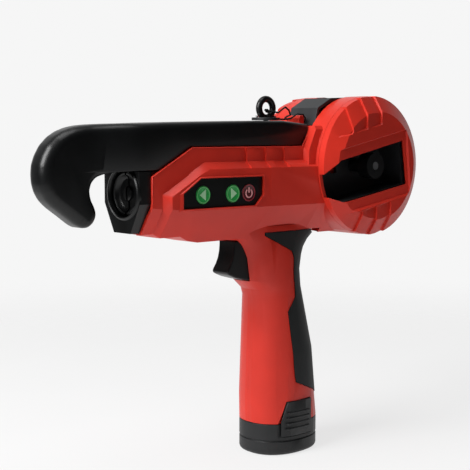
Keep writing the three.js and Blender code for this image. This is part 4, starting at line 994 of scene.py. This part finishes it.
# Each button by its body: x, radius, node, slot, its ring's inset, width and ink
BUTTONS = {
    "back_button": (86.4, 5.6, "button_back", "green_button", 0.5, 0.55, LIGHT_GREEN),
    "forward_button": (62.0, 5.6, "button_forward", "green_button", 0.5, 0.55, LIGHT_GREEN),
    "power_button": (48.7, 5.5, "button_power", "red_button", 0.2, 0.35, CRIMSON),
}
# The cap's foot, then its face as lift and inset from the radius; the ring's section as lift and share
# of its width
CAP_FOOT = -1.6
CAP_ROWS = ((0.2, 0), (0.42, 0.15), (0.5, 0.4), (0.42, 0.75), (0.34, 0.9))
RING_ROWS = ((0.2, 1), (0.2, 0), (0.5, 0), (0.56, 1 / 3), (0.56, 2 / 3), (0.5, 1), (0.2, 1))
# Signs: an arrow's reach, its back's share of that and half height, and the layer of ink
ARROW_POINT = {"back_button": 3.0, "forward_button": -3.0}
ARROW_BACK = 0.62
ARROW_HALF = 3.5
ARROW_INK = (0.2, 0.55)
# The power sign: section of its open ring, the gap's half angle, and its bar
SIGN_SECTION = ((2.3, 0), (3.05, 0), (3.05, 0.3), (2.3, 0.3))
SIGN_GAP = 35
SIGN_LIFT = 0.3
SIGN_DROP = 0.3
BAR_HALF = 0.38
BAR_LENGTH = 3.4


def tapered_slab(near_points, far_points, near, far):
    """A closed block between two side outlines with as many corners each."""
    shape = bmesh.new()
    faces = [outline_face(shape, near_points, near), outline_face(shape, far_points, far)]
    bmesh.ops.bridge_loops(shape, edges=[edge for face in faces for edge in face.edges])
    return outward(shape)


def on_button(x, rows):
    """A shape turned round the axis of the button at that x."""
    return turned(rows, (0, 1, 0), (x, PANEL_FACE, BUTTON_HEIGHT), BUTTON_STEPS)


def button_shape(x, radius):
    """A low button cap with a rounded rim."""
    face = [(lift, radius - inset) for lift, inset in CAP_ROWS]
    return on_button(x, [(CAP_FOOT, 0), (CAP_FOOT, radius), *face, (face[-1][0], 0)])


def ring_shape(x, radius, width):
    """A thin printed ring on a button."""
    return on_button(x, [(lift, radius - share * width) for lift, share in RING_ROWS])


class VINETOOL_OT_button_panel(bpy.types.Operator):
    """Models the button panel, its raised rim and the three buttons with their signs"""

    bl_idname = "vinetool.button_panel"
    bl_label = "Button Panel"

    def execute(self, context):
        plate = slab(PANEL, PANEL_BACK, PANEL_FACE)
        for x, radius in (row[:2] for row in BUTTONS.values()):
            well = on_button(x, cylinder_rows(-WELL_HALF, WELL_HALF, radius + BUTTON_PLAY))
            plate = combine(plate, well, "DIFFERENCE")
        finished(plate, "button_panel_plate", "gloss_black", "tool", ["button_panel"], smooth=30, edge=0.0002)
        rim = tapered_slab(PANEL_RIM, PANEL_LIP, RIM_FOOT, RIM_CREST)
        rim = combine(rim, slab(PANEL, CHEEK - RIM_CUT, CHEEK + RIM_CUT), "DIFFERENCE")
        finished(rim, "button_panel_rim", "red_abs", "tool", smooth=30, edge=0.00015)
        for body, (x, radius, node, slot, inset, width, ink) in BUTTONS.items():
            finished(button_shape(x, radius), node + "_cap", slot, body, [node], smooth=BUTTON_SMOOTH)
            self.printed(ring_shape(x, radius - inset, width), node + "_ring", slot, body, ink)
            if body in ARROW_POINT:
                arrow = self.arrow(x, ARROW_POINT[body])
                self.printed(arrow, node + "_sign", slot, body, MINT, edge=0.0001)
            else:
                for each in self.power_sign(x):
                    self.printed(each, node + "_sign", slot, body, PALE_PINK)
        return {"FINISHED"}

    def printed(self, shape, name, slot, body, ink, edge=0.0):
        """Finishes a sign on a button in its own ink."""
        made = finished(shape, name, slot, body, smooth=BUTTON_SMOOTH, edge=edge)
        made.data.materials[0] = printed_ink(*ink)

    def arrow(self, x, point):
        """A triangle that points along x."""
        back = x - point * ARROW_BACK
        low, high = BUTTON_HEIGHT - ARROW_HALF, BUTTON_HEIGHT + ARROW_HALF
        corners = [(x + point, BUTTON_HEIGHT), (back, low), (back, high)]
        return slab(corners, *(PANEL_FACE + lift for lift in ARROW_INK))

    def power_sign(self, x):
        """An open ring with a bar in its gap."""
        ring = bmesh.new()
        start = math.radians(SIGN_GAP)
        out = Vector((math.sin(start), 0, math.cos(start)))
        middle = Vector((x, PANEL_FACE + SIGN_LIFT, BUTTON_HEIGHT - SIGN_DROP))
        corners = [ring.verts.new(middle + out * radius + Vector((0, y, 0))) for radius, y in SIGN_SECTION]
        bmesh.ops.spin(
            ring, geom=[ring.faces.new(corners)], cent=middle, axis=(0, 1, 0),
            angle=math.radians(360 - 2 * SIGN_GAP), steps=32, use_merge=False,
        )
        bar = rectangle(x - BAR_HALF, x + BAR_HALF, BUTTON_HEIGHT, BUTTON_HEIGHT + BAR_LENGTH)
        return [outward(ring), slab(bar, PANEL_FACE + SIGN_LIFT, PANEL_FACE + 2 * SIGN_LIFT)]


NOSE_FACE = 131.0
TWISTER_PLACE = (NOSE_FACE, 2.0, 181.0)
TWISTER_STEPS = 64
COLLAR_ROWS = [
    (-1.0, 14.0), (1.0, 14.2), (1.5, 14.9), (1.2, 15.8), (0.3, 16.4), (-1.0, 16.4), (-1.0, 14.0),
]
HEAD_ROWS = [
    (-7.6, 0), (-7.6, 13.4), (-2.2, 13.4), (-1.6, 13.0), (-1.3, 12.3), (-1.6, 11.4), (-3.4, 10.2),
    (-4.0, 9.2), (-4.0, 4.6), (-2.6, 4.2), (-2.2, 3.4), (-2.2, 0),
]
# The wire's slot across the head: depth, width and length, and how far its middle is behind the nose's face
SLOT_SIZE = (4, 1.6, 40)
SLOT_BACK = 3.0


class VINETOOL_OT_nose(bpy.types.Operator):
    """Models the nose's collar and the twister head, and rounds the nose block"""

    bl_idname = "vinetool.nose"
    bl_label = "Nose and Twister"

    def execute(self, context):
        refined("nose_block", edge=0.0006, angle=24)
        collar = turned(COLLAR_ROWS, (1, 0, 0), TWISTER_PLACE, TWISTER_STEPS)
        finished(collar, "twister_collar", "gloss_black", "tool", smooth=50)
        slot = block(SLOT_SIZE, Vector(TWISTER_PLACE) - Vector((SLOT_BACK, 0, 0)))
        head = combine(turned(HEAD_ROWS, (1, 0, 0), TWISTER_PLACE, TWISTER_STEPS), slot, "DIFFERENCE")
        finished(
            head, "twister_head_turned", "gloss_black", "twister", ["twister_head"], smooth=40, edge=0.0003,
        )
        return {"FINISHED"}


TRIGGER_HALF = 7.8
TRIGGER = [
    (24.5, 121.5), (33.0, 121.5), (34.0, 119.9), (38.0, 120.4), (46.0, 122.6), (50.6, 124.5), (52.6, 125.6),
    (53.2, 127.0), (52.2, 128.8), (50.4, 131.4), (48.6, 135.2), (47.5, 139.4), (47.1, 143.5), (47.0, 147.0),
    (24.5, 147.0),
]


class VINETOOL_OT_trigger(bpy.types.Operator):
    """Models the trigger with its finger curve"""

    bl_idname = "vinetool.trigger"
    bl_label = "Trigger"

    def execute(self, context):
        finished(
            slab(TRIGGER, -TRIGGER_HALF, TRIGGER_HALF), "trigger_moulded", "gloss_black", "trigger_lever",
            ["trigger"], smooth=40, edge=0.0016, edge_angle=50, segments=4,
        )
        return {"FINISHED"}


# Middle of each groove's cutter behind the grip, x and height, and the cutter's size
GROOVES = ((-25.0, 72.0), (-26.3, 59.3))
GROOVE_CUTTER = (6, 30, 0.9)


class VINETOOL_OT_grip(bpy.types.Operator):
    """Rounds the rubber's edges and cuts its rear grooves"""

    bl_idname = "vinetool.grip"
    bl_label = "Grip Rubber"

    def execute(self, context):
        refined("grip_rubber", edge=0.0005, angle=30, change=self.grooved)
        return {"FINISHED"}

    def grooved(self, shape):
        """Cuts shallow grooves across the back of the rubber."""
        for x, height in GROOVES:
            shape = combine(shape, block(GROOVE_CUTTER, (x, 0, height)), "DIFFERENCE")
        return shape


# Ribs on each latch: rear and front end of the lowest, how fast the front goes back with height,
# their heights and width, and how far they stand out of the latch and reach into it
LATCH_RIBS = (-7.5, 13.5)
LATCH_LEAN = 0.12
RIB_HEIGHTS = (17.6, 21.2, 24.8, 28.4)
RIB_WIDTH = 1.1
RIB_RISE = 0.45
RIB_ROOT = 1.2


class VINETOOL_OT_battery(bpy.types.Operator):
    """Rounds the battery's base and models the ribbed latches"""

    bl_idname = "vinetool.battery"
    bl_label = "Battery"

    def execute(self, context):
        refined("battery_base", edge=0.0004, angle=30)
        for side, sign in (("left", 1), ("right", -1)):
            refined(
                f"battery_latch_{side}", edge=0.0003, angle=30,
                change=lambda shape, sign=sign: self.ribbed(shape, sign),
            )
        return {"FINISHED"}

    def ribbed(self, shape, sign):
        """Adds the level ribs that the fingers press on."""
        face = max(vert.co.y * sign for vert in shape.verts)
        for low in RIB_HEIGHTS:
            rear, front = LATCH_RIBS
            front -= (low - RIB_HEIGHTS[0]) * LATCH_LEAN
            outline = rectangle(rear, front, low, low + RIB_WIDTH)
            rib = slab(outline, sign * (face - RIB_ROOT), sign * (face + RIB_RISE))
            shape = combine(shape, rib, "UNION")
        return shape


class VINETOOL_OT_lid(bpy.types.Operator):
    """Rounds the reel lid, its catch and the eye ring's base"""

    bl_idname = "vinetool.lid"
    bl_label = "Reel Lid and Ring Base"

    def execute(self, context):
        refined("reel_lid", edge=0.0006, angle=24)
        refined("lid_latch", edge=0.0005, angle=24)
        refined("ring_base", edge=0.0003, angle=30)
        return {"FINISHED"}


RING_CENTRE = (12.0, 0.0, 233.6)
RING_RADIUS = 6.2
RING_HALF = 2.2
NECK_FOOT = (12, 0, 226.2)
NECK_ROWS = [(0, 0), (0, 3.4), (0.8, 3.1), (1.6, 2.6), (3.0, 2.4), (3.0, 0)]


class VINETOOL_OT_eye_ring(bpy.types.Operator):
    """Models the eye ring and its neck"""

    bl_idname = "vinetool.eye_ring"
    bl_label = "Eye Ring"

    def execute(self, context):
        shape = bmesh.new()
        bmesh.ops.create_circle(shape, segments=20, radius=RING_HALF)
        bmesh.ops.translate(shape, vec=(RING_RADIUS, 0, 0), verts=shape.verts)
        bmesh.ops.spin(
            shape, geom=shape.verts[:] + shape.edges[:], cent=(0, 0, 0), axis=(0, 1, 0), angle=FULL_TURN,
            steps=48, use_merge=True,
        )
        bmesh.ops.translate(outward(shape), vec=RING_CENTRE, verts=shape.verts)
        shape = combine(shape, turned(NECK_ROWS, (0, 0, 1), NECK_FOOT, steps=32), "UNION")
        finished(shape, "eye_ring_turned", "gloss_black", "tool", ["eye_ring"], smooth=40)
        return {"FINISHED"}


CORD_ROUTE = [
    (10.4, 0.7, 232), (9.6, 2.2, 232), (7.6, 3.6, 231.2), (4.4, 4, 230.8), (0.6, 3.6, 232.8),
    (-3.4, 2.8, 234.6), (-7.4, 2.2, 232.6), (-10.2, 0.8, 229.4), (-11, -3.6, 228.4), (-12.6, -6.8, 227.6),
    (-16, -7.6, 226), (-19.2, -6.4, 224), (-20.2, -2, 223.2), (-20.2, 3, 223.6), (-19.2, 6.6, 226.6),
    (-15.6, 7.8, 229.6), (-11.6, 6.2, 230.2), (-9, 2.4, 227), (-6, -1.4, 226.4), (-1, -2.6, 226.4),
    (2.2, -3.6, 228), (5, -4.4, 230.4), (7.6, -3.6, 231.6), (9.6, -2.2, 232), (10.4, -0.7, 232),
]
KNOT_PLACE = (11.2, 0.0, 232.0)
KNOT_RADIUS = 0.75
KNOT_PITCH = 1.2
KNOT_TURNS = 2
KNOT_STEPS = 12


class VINETOOL_OT_lanyard(bpy.types.Operator):
    """Lays the thin lanyard cord in a loop from the eye ring, with a small knot in the eye"""

    bl_idname = "vinetool.lanyard"
    bl_label = "Lanyard"

    def execute(self, context):
        route = [Vector(place) * MILLIMETRE for place in CORD_ROUTE]
        cord = self.strand("lanyard_cord_laid", route)
        turns = []
        for step in range(KNOT_TURNS * KNOT_STEPS + 1):
            turn = FULL_TURN * step / KNOT_STEPS
            along = KNOT_PITCH * (step / KNOT_STEPS - KNOT_TURNS / 2)
            round_about = Vector((KNOT_RADIUS * math.cos(turn), along, KNOT_RADIUS * math.sin(turn)))
            turns.append((Vector(KNOT_PLACE) + round_about) * MILLIMETRE)
        knot = self.strand("lanyard_knot", turns)
        for piece in (cord, knot):
            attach(piece, "tool")
        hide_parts("lanyard_cord")
        return {"FINISHED"}

    def strand(self, name, places):
        """A round cord along places."""
        piece = round_curve(name, places, sizes().cord_diameter / 2, 3)
        piece.data.materials.append(finish(slot_of("lanyard_cord")))
        return piece


class VINETOOL_OT_finishes(bpy.types.Operator):
    """Gives every node that stays as it is its finish"""

    bl_idname = "vinetool.finishes"
    bl_label = "Finishes of the Inner Works"

    def execute(self, context):
        for name, piece in frame["nodes"].items():
            slot = slot_of(name)
            piece.data.materials.clear()
            piece.data.materials.append(finish(slot))
        return {"FINISHED"}


OPERATORS = (
    VINETOOL_OT_stage, VINETOOL_OT_finishes, VINETOOL_OT_housing, VINETOOL_OT_guide_arm, VINETOOL_OT_nose,
    VINETOOL_OT_reel_covers, VINETOOL_OT_button_panel, VINETOOL_OT_trigger, VINETOOL_OT_grip,
    VINETOOL_OT_battery, VINETOOL_OT_lid, VINETOOL_OT_eye_ring, VINETOOL_OT_lanyard,
)


class VINETOOL_PT_panel(bpy.types.Panel):
    """Lists the tool's operators, sizes and colours"""

    bl_label = "Vine Tying Tool"
    bl_idname = "VINETOOL_PT_panel"
    bl_space_type = "VIEW_3D"
    bl_region_type = "UI"
    bl_category = "Vine Tool"

    def draw(self, context):
        layout = self.layout
        for group in (context.scene.vine_tool_sizes, context.scene.vine_tool_colours):
            for name in group.__annotations__:
                layout.prop(group, name)
        for each in OPERATORS:
            layout.operator(each.bl_idname)


CLASSES = (VINETOOL_PG_sizes, VINETOOL_PG_colours, *OPERATORS, VINETOOL_PT_panel)


def register():
    for each in CLASSES:
        bpy.utils.register_class(each)
    bpy.types.Scene.vine_tool_sizes = bpy.props.PointerProperty(type=VINETOOL_PG_sizes)
    bpy.types.Scene.vine_tool_colours = bpy.props.PointerProperty(type=VINETOOL_PG_colours)


def unregister():
    del bpy.types.Scene.vine_tool_colours
    del bpy.types.Scene.vine_tool_sizes
    for each in reversed(CLASSES):
        bpy.utils.unregister_class(each)


def main():
    """Registers the add-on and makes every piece."""
    register()
    bpy.ops.vinetool.stage()
    bpy.ops.vinetool.finishes()
    bpy.ops.vinetool.housing()
    bpy.ops.vinetool.guide_arm()
    bpy.ops.vinetool.nose()
    bpy.ops.vinetool.reel_covers()
    bpy.ops.vinetool.button_panel()
    bpy.ops.vinetool.trigger()
    bpy.ops.vinetool.grip()
    bpy.ops.vinetool.battery()
    bpy.ops.vinetool.lid()
    bpy.ops.vinetool.eye_ring()
    bpy.ops.vinetool.lanyard()


if __name__ == "__main__":
    main()
